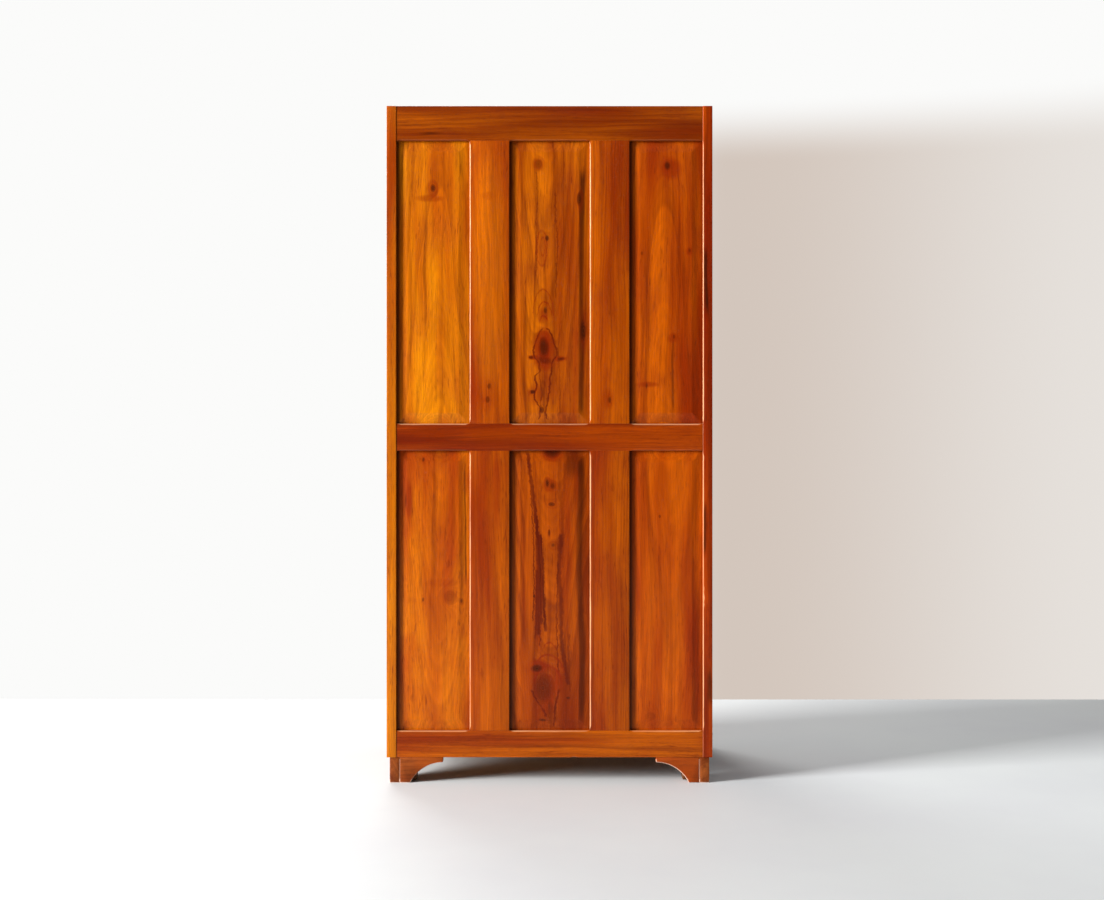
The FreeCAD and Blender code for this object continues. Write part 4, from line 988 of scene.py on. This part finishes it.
# boards inside
plainWood = dict(light=tone(190, 140, 92), deep=tone(150, 100, 60), late=tone(112, 68, 38),
                 heart=tone(84, 46, 24), pale=tone(206, 164, 122), gloss=0.55, specular=0.2, lines=0.5,
                 streaks=0.4, depth=0.5)
flatAxes = (axisX, axisY, axisZ)
insideBoards = {
    "bottom_board": flatAxes, "hat_shelf": flatAxes, "shelf_cleats": sideAxes,
    "foot_glue_blocks": (axisZ, axisX, axisY), "hanging_rod": railAxes,
}
blockWood = {**plainWood, "light": tone(96, 62, 38), "deep": tone(64, 38, 22)}
for number, (node, axes) in enumerate(insideBoards.items()):
    look = blockWood if node == "foot_glue_blocks" else plainWood
    finish = teak("inside_" + node, axes=axes, pith=(30, 60), taper=0.03, seed=70.0 + number, **look)
    keepCopy(node, "carcass", finish, 0.0 if node == "hanging_rod" else 0.0012, 0.02)
keepCopy("top_board", "carcass",
         teak("teakTopBoard", axes=flatAxes, light=tone(194, 91, 4), deep=tone(135, 52, 1), pith=(20, -1050),
              taper=0.03, ring=8, seed=76.0),
         0.0008, 0.05)
print("feet and boards made")

oldBrass = brass("oldBrass")
oldSteel = steel("oldSteel")
steelPieces = ("lock_case", "lock_bolt", "key")
hardware = {
    "frame_hinge_leaves": "carcass", "hinge_pins": "carcass", "frame_screws": "carcass",
    "bolt_keeps": "carcass", "bolt_plates": "left_door", "escutcheon": "right_door",
    "top_door_bolt": "top_door_bolt", "bottom_door_bolt": "bottom_door_bolt", "lock_case": "right_door",
    "lock_bolt": "lock_bolt", "key": "key",
}
for side in ("left", "right"):
    for kind in ("hinge_leaves", "knob", "screws"):
        hardware[f"{side}_door_{kind}"] = side + "_door"
eased = {
    "frame_hinge_leaves": 0.00025, "left_door_hinge_leaves": 0.00025, "right_door_hinge_leaves": 0.00025,
    "bolt_keeps": 0.0002, "bolt_plates": 0.00025, "escutcheon": 0.0003, "lock_case": 0.0003,
    "key": 0.0003, "lock_bolt": 0.0003,
}
for node, body in hardware.items():
    metal, slotName = (oldSteel, "steel") if node in steelPieces else (oldBrass, "brass")
    keepCopy(node, body, metal, eased.get(node, 0.0), 0.0025, 28, 60)
print("hardware made")

floorLook = {"side": 7.0, "behind": -1.0, "ahead": 7.0}
side, behind, ahead = floorLook.values()
floorMesh = bpy.data.meshes.new("floor")
floorMesh.from_pydata([(-side, behind, 0), (side, behind, 0), (side, ahead, 0), (-side, ahead, 0)], [],
                      [(0, 1, 2, 3)])
floor = bpy.data.objects.new("floor", floorMesh)
bpy.context.scene.collection.objects.link(floor)
maker = Finish("paleFloor")
spot = maker.node("ShaderNodeTexCoord", {}, {}, "Object")
spot = maker.node("ShaderNodeVectorMath", {"operation": "MULTIPLY"}, [spot, (1.3, 1.3, 1.3)])
cloud = maker.noise(spot, 4.0, 0.55)
colour = maker.mix(maker.fade(cloud, 0.3, 0.75), tone(217, 222, 224), tone(211, 215, 219))
floorMesh.materials.append(maker.surface(colour, cloud * 0.12 + 0.45, cloud, 0.0003, Specular_IOR_Level=0.04))
floor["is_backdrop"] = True

# the room is bright beyond the doors, dim beyond the back and darkest low down; seen directly it is a pale
# wall, with the wardrobe's own soft shade on the side away from the window
world = bpy.data.worlds.new("room")
bpy.context.scene.world = world
room = Finish("room", world)
toward = room.node("ShaderNodeSeparateXYZ", {}, [room.node("ShaderNodeTexCoord", {}, {}, "Generated")])
towardY, towardZ = toward.other("Y"), toward.other("Z")
beyondDoors, beyondBack = (0.42, 0.415, 0.41, 1), (0.095, 0.09, 0.09, 1)
lighting = room.mix(room.fade(towardY, -0.25, 0.35), beyondDoors, beyondBack)
lighting = room.shaded(lighting, room.fade(towardZ, 0.02, 0.45, 0.08, 1.0))
shadeSide = room.mix(room.fade(toward, -0.13, -0.40), tone(211, 198, 188), tone(230, 225, 220))
inShade = room.fade(toward, -0.06, -0.125) * room.fade(towardZ, 0.25, 0.205)
wall = room.mix(inShade, tone(251, 251, 250), shadeSide)
seen = room.node("ShaderNodeLightPath", {}, {}, "Is Camera Ray")
room.tree.links.new(room.mix(seen, lighting, wall).socket, room.shader.inputs["Color"])

lamps = {
    "window": dict(place=(12.0, 4.9, 3.92), aim=(0, 0.2, 0.95), size=(3.7, 4.3), power=4550,
                   colour=(1.0, 0.98, 0.955)),
    "ceiling": dict(place=(0.3, 1.2, 4.4), aim=(0, 0.2, 0.6), size=(4.5, 4.5), power=38,
                    colour=(1.0, 0.97, 0.94)),
    "front": dict(place=(1.6, -3.7, 4.4), aim=(0, 0, 0.9), size=(2.4, 2.4), power=190,
                  colour=(1.0, 0.97, 0.94)),
}
for name, look in lamps.items():
    light = bpy.data.lights.new(name, "AREA")
    light.shape = "RECTANGLE"
    light.size, light.size_y = look["size"]
    light.energy = look["power"]
    light.color = look["colour"]
    lamp = bpy.data.objects.new(name, light)
    bpy.context.scene.collection.objects.link(lamp)
    lamp.location = look["place"]
    away = np.array(look["place"]) - np.array(look["aim"])
    flat = math.hypot(away[0], away[1])
    lamp.rotation_euler = (math.atan2(flat, away[2]), 0, math.atan2(away[0], -away[1]))

view = {
    "distance": 3.8, "height": 0.934, "aside": -0.007, "perMetre": 356.3, "imageWidth": 1104, "sensor": 36.0,
}
camera = bpy.data.objects.new("camera", bpy.data.cameras.new("camera"))
bpy.context.scene.collection.objects.link(camera)
camera.location = (view["aside"], corners("back_left_post")[1][axisY] + view["distance"], view["height"])
camera.rotation_euler = (math.pi / 2, 0, math.pi)
camera.data.sensor_width = view["sensor"]
camera.data.lens = view["sensor"] * view["perMetre"] * view["distance"] / view["imageWidth"]
bpy.context.scene.camera = camera
bpy.context.scene.view_settings.view_transform = "Standard"
print("floor, light and camera ready")

low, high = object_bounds()
